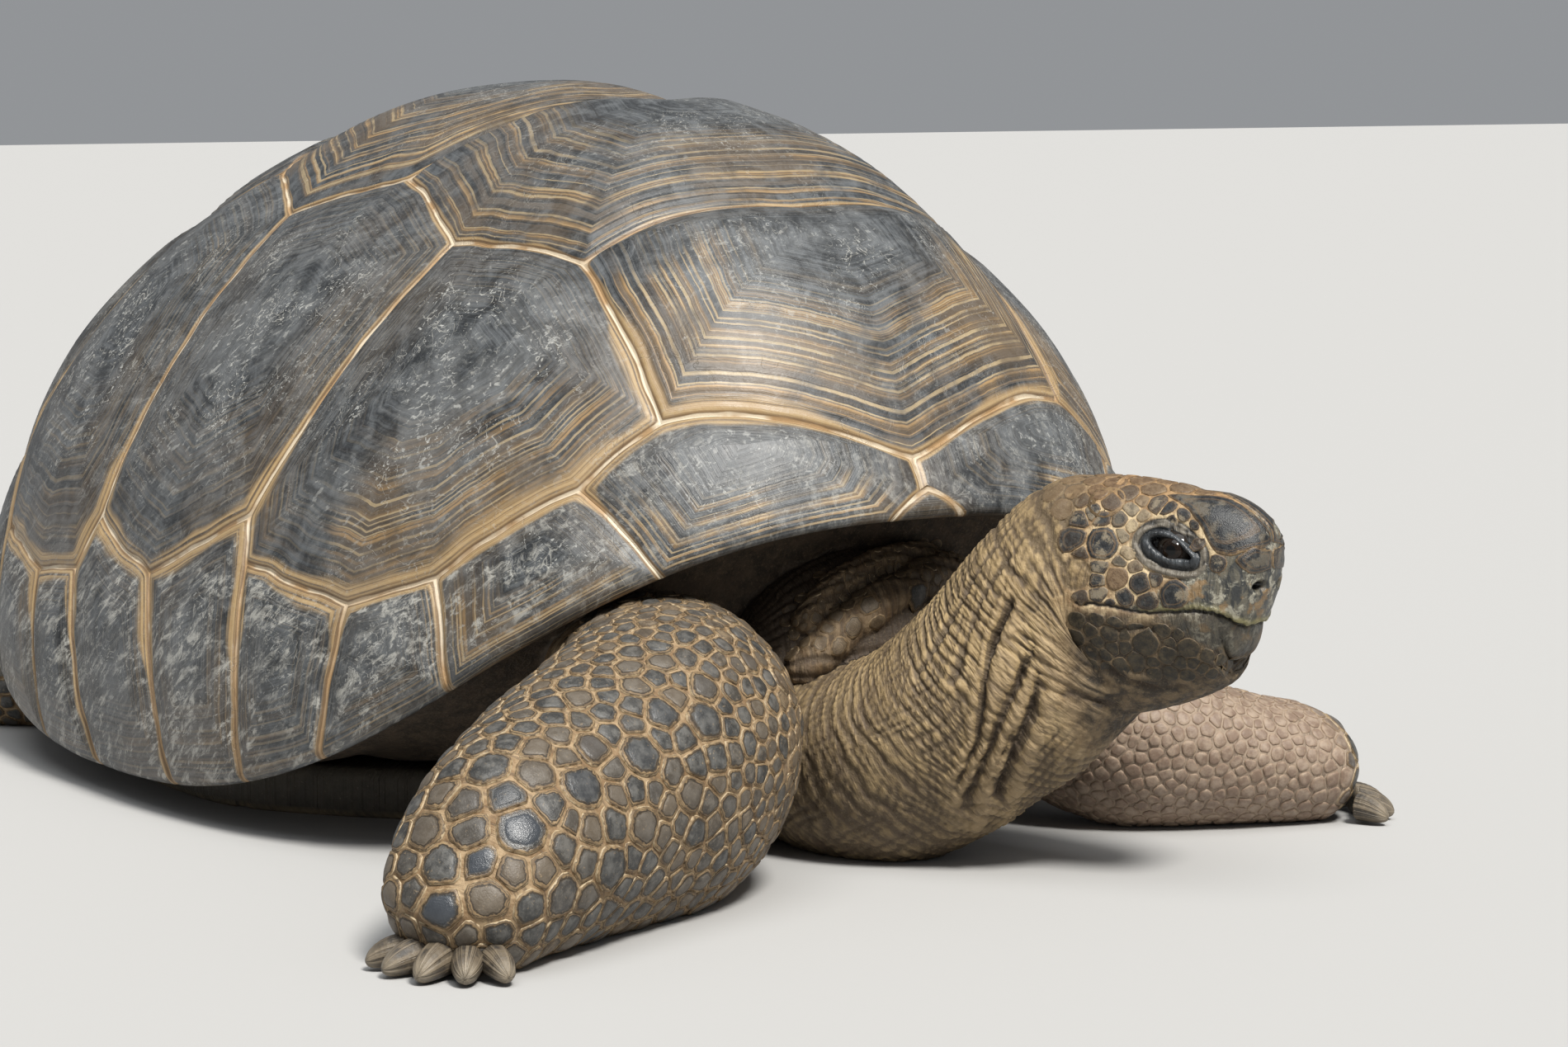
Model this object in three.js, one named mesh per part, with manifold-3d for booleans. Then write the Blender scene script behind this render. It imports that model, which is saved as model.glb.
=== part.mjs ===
// Aldabra giant tortoise, adult male, lying on its plastron with the head raised and turned a little
// to its left.
// Millimetres. +X towards the head, +Y the animal's left, +Z up. The floor is Z = 0.
// The shell is drawn about its own plan centre; the finished group is then moved so that the origin is
// the bottom centre of the whole animal's box.
import * as THREE from 'three';
import { mergeVertices } from 'three/addons/utils/BufferGeometryUtils.js';
import Module from 'manifold-3d';

const wasm = await Module();
wasm.setup();

// ---- driving dimensions -------------------------------------------------------------------------
const SHELL_LENGTH = 1150;            // straight carapace length
const SHELL_WIDTH = 826;              // across the rims
const SHELL_HEIGHT = 565;             // floor to crest
const SHELL_SQUARENESS = 2.52;        // superellipse exponent of the rim in plan
const SHELL_EGG = 0.068;              // how much narrower the front is than the back
const CREST_FORWARD = 24.5;           // crest of the dome ahead of the plan centre
const SCUTE_THICKNESS = 12;
const SCUTE_GAP = 0.45;               // each scute stops this far short of its seam
const BODY_CLEARANCE = 11;            // between the scutes' backs and the body inside
const SEAM_STEP = 68;                 // about how long each straight stretch of a seam is
const CUT_GAP = 0.4;                  // between two touching nodes
const LIMB_CLEARANCE = 1.5;           // between a limb and the plain hollow it sits in
const PLASTRON_THICKNESS = 40;

// Rim height above the floor, by angle from the nose round to the tail (degrees, mm).
const RIM_HEIGHTS = [
  [0, 265], [22, 239], [42, 170], [60, 89], [80, 30], [110, 40], [135, 95], [160, 112], [180, 90],
];

// Profile of the dome from rim to crest, at the front, the sides and the rear.
const PROFILE = {
  front: { flare: -0.163, rise: 159, shoulder: 0.648 },
  side: { flare: 0.092, rise: 191.5, shoulder: 0.545 },
  rear: { flare: 0.078, rise: 211, shoulder: 0.6 },
};

const BULGE = { vertebral: 15, costal: 10, marginal: 6 };   // how far a scute's middle swells out
const SULCUS = 4.5;                   // how far its edge sinks at the seams

// Where seams meet, as [degrees from the nose, height up the dome from 0 at the rim to 1 at the crest],
// and for the deeper valleys between the humps of the back how much deeper they are.
// The right side is listed; the left is its mirror.
const JUNCTIONS = {
  nuchalFoot: [2.4, 0], nuchalPeak: [0, 0.034], collar: [0, 0.086], spine12: [0, 0.535, 3],
  foot1: [26.5, 0], foot2: [49.5, 0], foot3: [64.4, 0], foot4: [74, 0], foot5: [83.2, 0],
  foot6: [91.3, 0], foot7: [99.9, 0], foot8: [113.4, 0], foot9: [130.3, 0], foot10: [149.9, 0],
  foot11: [168.8, 0],
  head1: [35.1, 0.17], head2: [51.4, 0.159], head3: [61.9, 0.183], head4: [76, 0.265],
  head5: [88.4, 0.252], head6: [97.4, 0.234], head7: [104.7, 0.211], head8: [118.9, 0.205],
  head9: [135.4, 0.2], head10: [153.9, 0.205], head11: [170.2, 0.215],
  first: [25.2, 0.211], second: [34.1, 0.495], third: [59, 0.607], fourth: [83.1, 0.733],
  fifth: [102, 0.665], sixth: [133.8, 0.693], seventh: [137.8, 0.582], eighth: [160.5, 0.562],
  ninth: [160.3, 0.3],
  lap12: [77.2, 0.317], lap23: [96, 0.299], lap34: [127, 0.27],
  spine23: [0, 0.87, 6], spine34: [180, 0.74, 4], spine45: [180, 0.545, 3], spineTail: [180, 0.225],
};

// Each scute as the ring of junctions round it. R and L mark the side; plain names lie on the midline.
const MIDLINE_SCUTES = {
  nuchal: ['nuchalFootR', 'nuchalPeak', 'nuchalFootL'],
  vertebral_1: ['collar', 'firstL', 'secondL', 'spine12', 'secondR', 'firstR'],
  vertebral_2: ['spine12', 'secondL', 'thirdL', 'fourthL', 'spine23', 'fourthR', 'thirdR', 'secondR'],
  vertebral_3: ['spine23', 'fourthL', 'fifthL', 'sixthL', 'spine34', 'sixthR', 'fifthR', 'fourthR'],
  vertebral_4: ['spine34', 'sixthL', 'seventhL', 'eighthL', 'spine45', 'eighthR', 'seventhR', 'sixthR'],
  vertebral_5: ['spine45', 'eighthL', 'ninthL', 'head11L', 'spineTail', 'head11R', 'ninthR', 'eighthR'],
  supracaudal: ['spineTail', 'head11L', 'foot11L', 'foot11R', 'head11R'],
};
const SIDE_SCUTES = {
  costal_1: ['second', 'third', 'lap12', 'head4', 'head3', 'head2', 'head1', 'first'],
  costal_2: ['third', 'fourth', 'fifth', 'lap23', 'head5', 'lap12'],
  costal_3: ['fifth', 'sixth', 'seventh', 'lap34', 'head8', 'head7', 'head6', 'lap23'],
  costal_4: ['seventh', 'eighth', 'ninth', 'head10', 'head9', 'lap34'],
  marginal_1: ['nuchalFoot', 'nuchalPeak', 'collar', 'first', 'head1', 'foot1'],
  marginal_2: ['foot1', 'head1', 'head2', 'foot2'],
  marginal_3: ['foot2', 'head2', 'head3', 'foot3'],
  marginal_4: ['foot3', 'head3', 'head4', 'foot4'],
  marginal_5: ['foot4', 'head4', 'lap12', 'head5', 'foot5'],
  marginal_6: ['foot5', 'head5', 'lap23', 'head6', 'foot6'],
  marginal_7: ['foot6', 'head6', 'head7', 'foot7'],
  marginal_8: ['foot7', 'head7', 'head8', 'foot8'],
  marginal_9: ['foot8', 'head8', 'lap34', 'head9', 'foot9'],
  marginal_10: ['foot9', 'head9', 'head10', 'foot10'],
  marginal_11: ['foot10', 'head10', 'ninth', 'head11', 'foot11'],
};

const HORN = { color: 0x3b3c3d, roughness: 0.42, metalness: 0 };
const SKIN = { color: 0x6a5645, roughness: 0.8, metalness: 0 };
const EYE = { color: 0x0b0908, roughness: 0.08, metalness: 0 };

// ---- small helpers ------------------------------------------------------------------------------
const rad = THREE.MathUtils.degToRad;
const mix = THREE.MathUtils.lerp;
const signedPower = (value, power) => Math.sign(value) * Math.abs(value) ** power;

function vec(x, y, z) {
  return new THREE.Vector3(x, y, z);
}

// A closed skin made from a sphere's grid: place(turn, row) says where each grid point goes.
function wrap(columns, rows, place) {
  const geometry = new THREE.SphereGeometry(1, columns, rows);
  const position = geometry.attributes.position;
  for (let row = 0; row <= rows; row += 1) {
    for (let column = 0; column <= columns; column += 1) {
      const point = place(column % columns, row);
      position.setXYZ(row * (columns + 1) + column, point.x, point.y, point.z);
    }
  }
  return weld(geometry);
}

function weld(geometry) {
  geometry.deleteAttribute('normal');
  geometry.deleteAttribute('uv');
  return mergeVertices(geometry, 1e-3);
}

function toSolid(geometry) {
  const vertProperties = new Float32Array(geometry.attributes.position.array);
  const triVerts = new Uint32Array(geometry.index.array);
  return new wasm.Manifold(new wasm.Mesh({ numProp: 3, vertProperties, triVerts }));
}

function toGeometry(solid) {
  const mesh = solid.getMesh();
  const geometry = new THREE.BufferGeometry();
  const points = new Float32Array(mesh.numVert * 3);
  for (let i = 0; i < mesh.numVert; i += 1) {
    points.set(mesh.vertProperties.subarray(i * mesh.numProp, i * mesh.numProp + 3), i * 3);
  }
  geometry.setAttribute('position', new THREE.BufferAttribute(points, 3));
  geometry.setIndex(new THREE.BufferAttribute(new Uint32Array(mesh.triVerts), 1));
  return geometry;
}

function block(low, high) {
  const size = high.clone().sub(low);
  const geometry = new THREE.BoxGeometry(size.x, size.y, size.z);
  const middle = low.clone().add(high).multiplyScalar(0.5);
  geometry.translate(middle.x, middle.y, middle.z);
  return toSolid(weld(geometry));
}

// Natural cubic through [angle, value] knots that is flat at both ends.
function smoothTable(knots) {
  const count = knots.length;
  const slopes = new Array(count).fill(0);
  for (let pass = 0; pass < 60; pass += 1) {
    for (let i = 1; i < count - 1; i += 1) {
      const before = knots[i][0] - knots[i - 1][0];
      const after = knots[i + 1][0] - knots[i][0];
      const riseBefore = (knots[i][1] - knots[i - 1][1]) / before;
      const riseAfter = (knots[i + 1][1] - knots[i][1]) / after;
      const pull = 3 * (after * riseBefore + before * riseAfter);
      slopes[i] = (pull - after * slopes[i - 1] - before * slopes[i + 1]) / (2 * (before + after));
    }
  }
  return (angle) => {
    let i = 0;
    while (i < count - 2 && angle > knots[i + 1][0]) i += 1;
    const width = knots[i + 1][0] - knots[i][0];
    const t = (angle - knots[i][0]) / width;
    const blend = t * t * (3 - 2 * t);
    const lead = t * (1 - t) * (1 - t) * width * slopes[i];
    const trail = t * t * (1 - t) * width * slopes[i + 1];
    return mix(knots[i][1], knots[i + 1][1], blend) + lead - trail;
  };
}

const rimHeight = smoothTable(RIM_HEIGHTS);

// ---- the dome -----------------------------------------------------------------------------------
// angle: degrees from the nose, positive towards the animal's right; up: 0 at the rim, 1 at the crest.
function domePoint(angle, up) {
  const cos = Math.cos(rad(angle));
  const sin = Math.sin(rad(angle));
  const power = 2 / SHELL_SQUARENESS;
  const rimX = SHELL_LENGTH / 2 * signedPower(cos, power);
  const rimY = -SHELL_WIDTH / 2 * signedPower(sin, power) * (1 - SHELL_EGG * cos);
  const front = cos > 0 ? cos * cos : 0;
  const rear = cos < 0 ? cos * cos : 0;
  const side = 1 - front - rear;
  const blend = (key) => (
    PROFILE.front[key] * front + PROFILE.side[key] * side + PROFILE.rear[key] * rear
  );
  const low = rimHeight(Math.abs(angle));
  const w = 1 - up;
  const [b0, b1, b2, b3] = [w ** 3, 3 * w * w * up, 3 * w * up * up, up ** 3];
  const reach = b0 + b1 * (1 + blend('flare')) + b2 * blend('shoulder');
  const z = b0 * low + b1 * (low + blend('rise')) + (b2 + b3) * SHELL_HEIGHT;
  return vec(CREST_FORWARD + (rimX - CREST_FORWARD) * reach, rimY * reach, z);
}

// The dome unrolled on a disc: the crest is its centre and the rim its edge, forward is +x, right is +y.
function discToDome(point, depth = 0) {
  const angleOf = (p) => THREE.MathUtils.radToDeg(Math.atan2(p.y, p.x));
  const at = (p) => domePoint(angleOf(p), Math.max(0, 1 - p.length()));
  const here = at(point);
  if (depth === 0) return here;
  const nearCrest = point.length() < 0.02;
  const inward = nearCrest ? new THREE.Vector2(point.x + 0.01, point.y) : point.clone().multiplyScalar(0.99);
  const across = inward.clone().rotateAround(point, Math.PI / 2);
  const a = at(inward).sub(here);
  const b = at(across.multiplyScalar(Math.min(1, 1 / across.length()))).sub(here);
  const normal = a.cross(b).normalize();
  if (normal.dot(vec(here.x * 0.6, here.y * 0.6, here.z)) < 0) normal.negate();
  return here.addScaledVector(normal, -depth);
}

// A junction's place on the disc, with the extra depth of its valley as z.
function junction(name) {
  const side = name.endsWith('L') ? -1 : 1;
  const [angle, up, valley = 0] = JUNCTIONS[name.replace(/[LR]$/, '')];
  const reach = 1 - up;
  return vec(reach * Math.cos(rad(angle)), side * reach * Math.sin(rad(angle)), valley);
}

const flat = (point) => new THREE.Vector2(point.x, point.y);

// Points along the seam from one junction to the next, the same from either side of it.
function seam(from, to) {
  const [a, b] = [from, to].sort();
  const [start, end] = [junction(a), junction(b)];
  const onRim = flat(start).length() > 0.999 && flat(end).length() > 0.999;
  const span = discToDome(flat(start)).distanceTo(discToDome(flat(end)));
  const pieces = Math.max(1, Math.round(span / SEAM_STEP));
  const points = [];
  for (let i = 0; i <= pieces; i += 1) {
    const point = start.clone().lerp(end, i / pieces);
    if (onRim) point.setLength(1);
    points.push(point);
  }
  if (a !== from) points.reverse();
  return points.slice(0, -1);
}

// A horn plate: rings swelling from its edge to its middle outside, and a back that follows the dome.
function scute(ring, kind) {
  let edge = ring.flatMap((name, i) => seam(name, ring[(i + 1) % ring.length]));
  const area = edge.reduce((sum, p, i) => sum + flat(p).cross(flat(edge[(i + 1) % edge.length])), 0);
  if (area > 0) edge = edge.reverse();
  const centre = edge.reduce((sum, p) => sum.add(flat(p)), new THREE.Vector2()).divideScalar(edge.length);
  const rings = kind === 'marginal' ? [0, 0.75, 1] : [0, 0.45, 0.82, 1];
  const backRings = kind === 'marginal' ? [1, 0] : [1, 0.55, 0];
  const at = (column, reach, depth) => {
    const span = flat(edge[column]).sub(centre);
    const size = discToDome(flat(edge[column])).distanceTo(discToDome(centre));
    const point = centre.clone().addScaledVector(span, reach * (1 - SCUTE_GAP / size));
    return discToDome(point, depth + edge[column].z * reach ** 3);
  };
  return wrap(edge.length, rings.length + backRings.length - 1, (column, row) => {
    if (row >= rings.length) return at(column, backRings[row - rings.length], SCUTE_THICKNESS);
    return at(column, rings[row], SULCUS - BULGE[kind] * (1 - rings[row] ** 2.5));
  });
}

// ---- lofts --------------------------------------------------------------------------------------
// A rounded body through stations [x, y, z, half width, height above, depth below], closed round like
// the end of a thumb within the first and the last stretch. grow makes it that much thicker all round.
function loft(stations, columns, rows, grow = 0) {
  const centres = stations.map(([x, y, z]) => vec(x, y, z));
  const path = new THREE.CatmullRomCurve3(centres, false, 'centripetal');
  const last = stations.length - 1;
  const radii = [3, 4, 5].map((k) => smoothTable(stations.map((station, i) => [i / last, station[k]])));
  return wrap(columns, rows, (column, row) => {
    const t = row / rows;
    const toEnd = Math.min(1, Math.min(t, 1 - t) * last);
    const roundness = Math.sqrt(1 - (1 - toEnd) ** 2);
    const centre = path.getPoint(t);
    const along = path.getTangent(t);
    const side = along.clone().cross(vec(0, 0, 1)).normalize();
    const up = side.clone().cross(along);
    if (row === 0 || row === rows) return centre.addScaledVector(along, row === 0 ? -grow : grow);
    const turn = column / columns * 2 * Math.PI;
    const [width, above, below] = radii.map((radius) => radius(t) * roundness + grow);
    centre.addScaledVector(side, width * Math.cos(turn));
    centre.addScaledVector(up, Math.sin(turn) * (Math.sin(turn) > 0 ? above : below));
    return centre;
  });
}

// ---- neck and head ------------------------------------------------------------------------------
const HEAD_TURN = 25;                          // degrees to the animal's left of straight ahead
const EYE_LINE = vec(731, 122, 253);           // midpoint between the eyes
const EYE_RADIUS = 16;
const EYE_CENTRE = { ahead: -4, out: 31, above: -5 };
const HEAD_BACK = -92;                         // the head ends and the neck starts here, behind the eyes

// A point given ahead of, to the left of and above the midpoint between the eyes.
function headPoint(ahead, left, above) {
  return vec(ahead, left, above).applyAxisAngle(vec(0, 0, 1), rad(HEAD_TURN)).add(EYE_LINE);
}

// Ahead of the eyes, height of the middle, half width, height above it, depth below it.
const HEAD_SECTIONS = [
  [-85, -40, 61, 80, 92], [-55, -40, 57, 83, 90], [-25, -38, 51, 80, 85], [5, -35, 46, 74, 76],
  [26, -32, 41, 67, 63], [40, -33, 35, 57, 54], [49, -36, 30, 41, 47], [58, -39, 24, 30, 38],
];
const NECK_STATIONS = [
  [320, 0, 150, 90, 80, 90], [425, -2, 100, 100, 80, 104], [508, 6, 88, 90, 66, 95],
  [588, 48, 140, 77, 76, 92],
];

function headAndNeck() {
  const head = HEAD_SECTIONS.map(([ahead, middle, width, above, below]) => {
    const centre = headPoint(ahead, 0, middle);
    return [centre.x, centre.y, centre.z, width, above, below];
  });
  return [...NECK_STATIONS, ...head];
}

// Everything ahead of, or behind, the plane where the head meets the neck.
function headSide(ahead) {
  const geometry = new THREE.BoxGeometry(600, 600, 700);
  geometry.translate(ahead ? 300 + CUT_GAP / 2 : -300 - CUT_GAP / 2, 0, 0);
  geometry.rotateZ(rad(HEAD_TURN));
  const middle = headPoint(HEAD_BACK, 0, 0);
  geometry.translate(middle.x, middle.y, middle.z);
  return toSolid(weld(geometry));
}

function eye(side, grow = 0) {
  const centre = headPoint(EYE_CENTRE.ahead, side * EYE_CENTRE.out, EYE_CENTRE.above);
  const geometry = new THREE.SphereGeometry(EYE_RADIUS + grow, 12, 8);
  geometry.translate(centre.x, centre.y, centre.z);
  return toSolid(weld(geometry));
}

// ---- legs, claws and tail -----------------------------------------------------------------------
// Stations run from the shoulder or hip out to the tip of the foot: x, y, z, half width, above, below.
const HINDLEG = [
  [-220, 140, 150, 74, 64, 76], [-300, 212, 122, 74, 62, 80], [-368, 284, 84, 66, 38, 88],
  [-424, 338, 54, 62, 24, 68], [-466, 362, 42, 58, 28, 52], [-494, 376, 35, 50, 24, 44],
];
const LEGS = {
  foreleg_right: [
    [330, -150, 150, 70, 60, 80], [430, -165, 135, 80, 72, 90], [545, -212, 112, 100, 98, 122],
    [612, -318, 86, 90, 90, 100], [668, -408, 66, 72, 74, 80], [694, -450, 48, 60, 50, 64],
    [716, -484, 38, 50, 34, 50],
  ],
  foreleg_left: [
    [330, 150, 140, 65, 55, 70], [420, 190, 108, 75, 60, 80], [505, 232, 80, 72, 56, 86],
    [540, 298, 56, 60, 50, 62], [554, 346, 48, 56, 46, 54], [562, 376, 42, 50, 38, 48],
    [570, 402, 36, 44, 28, 42],
  ],
  hindleg_right: HINDLEG.map(([x, y, ...rest]) => [x, -y, ...rest]),
  hindleg_left: HINDLEG,
};
const TAIL = [
  [-380, 0, 110, 46, 40, 46], [-440, 0, 90, 46, 44, 46], [-500, 8, 60, 36, 34, 36],
  [-540, 32, 40, 24, 23, 24], [-556, 66, 28, 15, 15, 15], [-560, 92, 22, 9, 9, 9],
];

// Claws fan out round the tip of each foot, just above the floor.
const FORE_CLAWS = { count: 5, length: 36, radius: 12, spread: 104, across: 44, along: 26, height: 13 };
const HIND_CLAWS = { count: 4, length: 34, radius: 12, spread: 84, across: 50, along: 26, height: 13 };
const CLAW_DROOP = 10;                // degrees below level

function claws(stations, { count, length, radius, spread, across, along, height }) {
  const [heel, toe] = stations.slice(-3, -1).map(([x, y]) => vec(x, y, 0));
  const forward = toe.clone().sub(heel).normalize();
  const heading = Math.atan2(forward.y, forward.x);
  const solids = [];
  for (let i = 0; i < count; i += 1) {
    const turn = rad((i / (count - 1) - 0.5) * spread);
    const root = vec(along * Math.cos(turn), across * Math.sin(turn), height);
    root.applyAxisAngle(vec(0, 0, 1), heading).add(toe);
    const geometry = new THREE.ConeGeometry(radius, length, 6);
    geometry.rotateZ(-Math.PI / 2);
    geometry.scale(1, 1, 0.85);
    geometry.rotateY(rad(CLAW_DROOP));
    geometry.rotateZ(heading + turn);
    geometry.translate(root.x, root.y, root.z);
    solids.push(toSolid(weld(geometry)));
  }
  return solids;
}

// ---- trunk and plastron -------------------------------------------------------------------------
// Half of the plastron's outline: distance ahead of the shell's centre and half width there.
const PLASTRON_HALF = [
  [-400, 90], [-372, 160], [-300, 200], [-225, 250], [-150, 340], [0, 354], [90, 338], [165, 285],
  [225, 232], [330, 195], [405, 150], [432, 90],
];
const GULAR_NOTCH = 418;
const ANAL_NOTCH = -372;
const PLASTRON_BEVEL = 12;
const SHOULDER_FOLD = { centre: vec(440, 25, 128), radii: vec(82, 128, 104) };
const FRONT_HOLLOW = { centre: vec(600, 0, 110), radii: vec(185, 420, 215) };

function plastron(grow = 0) {
  const right = PLASTRON_HALF.map(([x, y]) => new THREE.Vector2(x, -y));
  const left = PLASTRON_HALF.map(([x, y]) => new THREE.Vector2(x, y)).reverse();
  const shape = new THREE.Shape();
  shape.moveTo(ANAL_NOTCH, 0);
  shape.lineTo(right[0].x, right[0].y);
  shape.splineThru(right.slice(1));
  shape.lineTo(GULAR_NOTCH, 0);
  shape.lineTo(left[0].x, left[0].y);
  shape.splineThru(left.slice(1));
  const geometry = new THREE.ExtrudeGeometry(shape, {
    depth: PLASTRON_THICKNESS - 2 * PLASTRON_BEVEL + 2 * grow,
    bevelEnabled: true,
    bevelThickness: PLASTRON_BEVEL,
    bevelSize: PLASTRON_BEVEL + grow,
    bevelOffset: -PLASTRON_BEVEL,
    bevelSegments: 1,
    curveSegments: 2,
  });
  geometry.translate(0, 0, PLASTRON_BEVEL - grow);
  return toSolid(weld(geometry));
}

// The whole carapace as one thick cap, a little thicker than the scutes on both sides.
function shellCap() {
  const columns = 72;
  const rows = 7;
  return toSolid(wrap(columns, 2 * rows + 1, (column, row) => {
    const angle = column / columns * 2 * Math.PI;
    const outer = row <= rows;
    const reach = outer ? row / rows : (2 * rows + 1 - row) / rows;
    const point = new THREE.Vector2(Math.cos(angle), -Math.sin(angle)).multiplyScalar(reach);
    return discToDome(point, outer ? -BULGE.vertebral : SCUTE_THICKNESS + BODY_CLEARANCE / 2);
  }));
}

// The body inside the shell: the dome drawn in behind the scutes, closed below on the plastron.
function trunkCore() {
  const columns = 24;
  const domeRows = 6;
  const floorRows = 3;
  const depth = SCUTE_THICKNESS + BODY_CLEARANCE;
  const low = PLASTRON_THICKNESS + CUT_GAP;
  return toSolid(wrap(columns, domeRows + floorRows, (column, row) => {
    const angle = column / columns * 2 * Math.PI;
    const out = new THREE.Vector2(Math.cos(angle), -Math.sin(angle));
    const reach = Math.min(row, domeRows) / domeRows;
    const point = discToDome(out.clone().multiplyScalar(reach * 0.985), depth);
    if (row <= domeRows) return point;
    const inward = (row - domeRows) / floorRows;
    const drop = Math.min(1, inward * 2.2);
    return vec(point.x * (1 - inward), point.y * (1 - inward), mix(point.z, low, drop));
  }));
}

function ellipsoid({ centre, radii }) {
  const geometry = new THREE.SphereGeometry(1, 16, 10);
  geometry.scale(radii.x, radii.y, radii.z);
  geometry.translate(centre.x, centre.y, centre.z);
  return toSolid(weld(geometry));
}

// ---- the animal ---------------------------------------------------------------------------------
const animal = new THREE.Group();

function add(name, geometry, look) {
  const mesh = new THREE.Mesh(geometry, new THREE.MeshStandardMaterial(look));
  mesh.name = name;
  animal.add(mesh);
}

for (const [name, ring] of Object.entries(MIDLINE_SCUTES)) {
  const kind = name.startsWith('vertebral') ? 'vertebral' : 'marginal';
  add(name, scute(ring, kind), HORN);
}
for (const [side, letter] of [['left', 'L'], ['right', 'R']]) {
  for (const [name, ring] of Object.entries(SIDE_SCUTES)) {
    const [kind, number] = name.split('_');
    const sided = ring.map((corner) => (JUNCTIONS[corner][0] % 180 === 0 ? corner : corner + letter));
    add(`${kind}_${side}_${number}`, scute(sided, kind), HORN);
  }
}
add('plastron', toGeometry(plastron()), HORN);

const aboveFloor = block(vec(-900, -900, 0), vec(1200, 900, 900));
const cap = shellCap();
const bed = plastron(CUT_GAP);
const keepOff = (solid, ...others) => others.reduce((left, other) => left.subtract(other), solid);

const limb = (stations, grow) => toSolid(loft(stations, 16, 12, grow));
const neckAndHead = (grow) => toSolid(loft(headAndNeck(), 20, 28, grow));
const tail = (grow) => toSolid(loft(TAIL, 12, 10, grow));

const neckHollow = neckAndHead(LIMB_CLEARANCE);
const headNeck = keepOff(neckAndHead(0).intersect(aboveFloor), bed, cap);
const head = keepOff(headNeck.intersect(headSide(true)), eye(1, CUT_GAP), eye(-1, CUT_GAP));
add('head', toGeometry(head), SKIN);
add('neck', toGeometry(headNeck.intersect(headSide(false))), SKIN);
add('eye_left', toGeometry(eye(1)), EYE);
add('eye_right', toGeometry(eye(-1)), EYE);

const fold = keepOff(ellipsoid(SHOULDER_FOLD), cap);
let trunk = trunkCore().subtract(ellipsoid(FRONT_HOLLOW)).add(fold);
trunk = keepOff(trunk, neckHollow, bed, tail(LIMB_CLEARANCE));
for (const [name, stations] of Object.entries(LEGS)) {
  const foot = claws(stations, name.startsWith('fore') ? FORE_CLAWS : HIND_CLAWS);
  const whole = foot.reduce((sum, claw) => sum.add(claw), limb(stations, 0)).intersect(aboveFloor);
  add(name, toGeometry(keepOff(whole, neckHollow, bed, cap)), SKIN);
  trunk = trunk.subtract(limb(stations, LIMB_CLEARANCE));
}
add('tail', toGeometry(keepOff(tail(0), bed, cap)), SKIN);
add('trunk', toGeometry(trunk), SKIN);

const bounds = new THREE.Box3().setFromObject(animal);
const middle = bounds.getCenter(vec(0, 0, 0));
animal.position.set(-middle.x, -middle.y, 0);

export default animal;
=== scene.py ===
"""A giant tortoise resting on its plastron: the looks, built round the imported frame."""
import math

import bpy
import numpy as np
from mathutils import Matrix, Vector
from mathutils.bvhtree import BVHTree
from mathutils.kdtree import KDTree


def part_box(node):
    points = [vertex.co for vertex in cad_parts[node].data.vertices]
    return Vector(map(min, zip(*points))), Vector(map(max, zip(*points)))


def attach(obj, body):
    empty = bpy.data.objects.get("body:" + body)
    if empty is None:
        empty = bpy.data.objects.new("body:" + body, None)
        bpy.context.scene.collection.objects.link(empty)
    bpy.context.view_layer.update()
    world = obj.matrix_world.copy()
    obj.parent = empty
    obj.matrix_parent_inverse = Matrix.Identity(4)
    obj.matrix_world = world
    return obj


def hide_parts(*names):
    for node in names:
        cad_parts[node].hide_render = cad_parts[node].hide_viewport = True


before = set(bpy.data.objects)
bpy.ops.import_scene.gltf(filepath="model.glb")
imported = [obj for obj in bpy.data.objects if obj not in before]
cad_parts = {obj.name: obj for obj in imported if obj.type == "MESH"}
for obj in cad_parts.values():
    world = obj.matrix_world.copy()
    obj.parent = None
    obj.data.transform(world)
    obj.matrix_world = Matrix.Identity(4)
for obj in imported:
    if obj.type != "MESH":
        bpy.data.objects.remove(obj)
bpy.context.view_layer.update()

# Lengths are millimetres about the middle of the shell in plan, with +X towards the head and +Y to
# the animal's left. build() turns them into metres in the frame.
MM = 0.001
COARSE = 1

# ---- dimensions shared with the CAD -------------------------------------------------------------
SHELL_LENGTH, SHELL_WIDTH, SHELL_HEIGHT = 1150, 826, 565
SQUARENESS = 2.52                     # superellipse exponent of the rim in plan
EGG = 0.068                           # how much narrower the front is than the back
CREST_FORWARD = 24.5
SCUTE_THICKNESS = 12
BODY_DEPTH = 24                       # of the body's skin behind the outside of the dome
SULCUS = 4.5                          # how far a scute's edge sinks at the seams
RIM_HEIGHTS = [(0, 265), (22, 239), (42, 170), (60, 89), (80, 30), (110, 40), (135, 95), (160, 112),
               (180, 90)]
# Flare, rise and shoulder of the dome's profile at the front, the sides and the rear.
PROFILE = np.array([(-0.163, 159, 0.648), (0.092, 191.5, 0.545), (0.078, 211, 0.6)])

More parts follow.
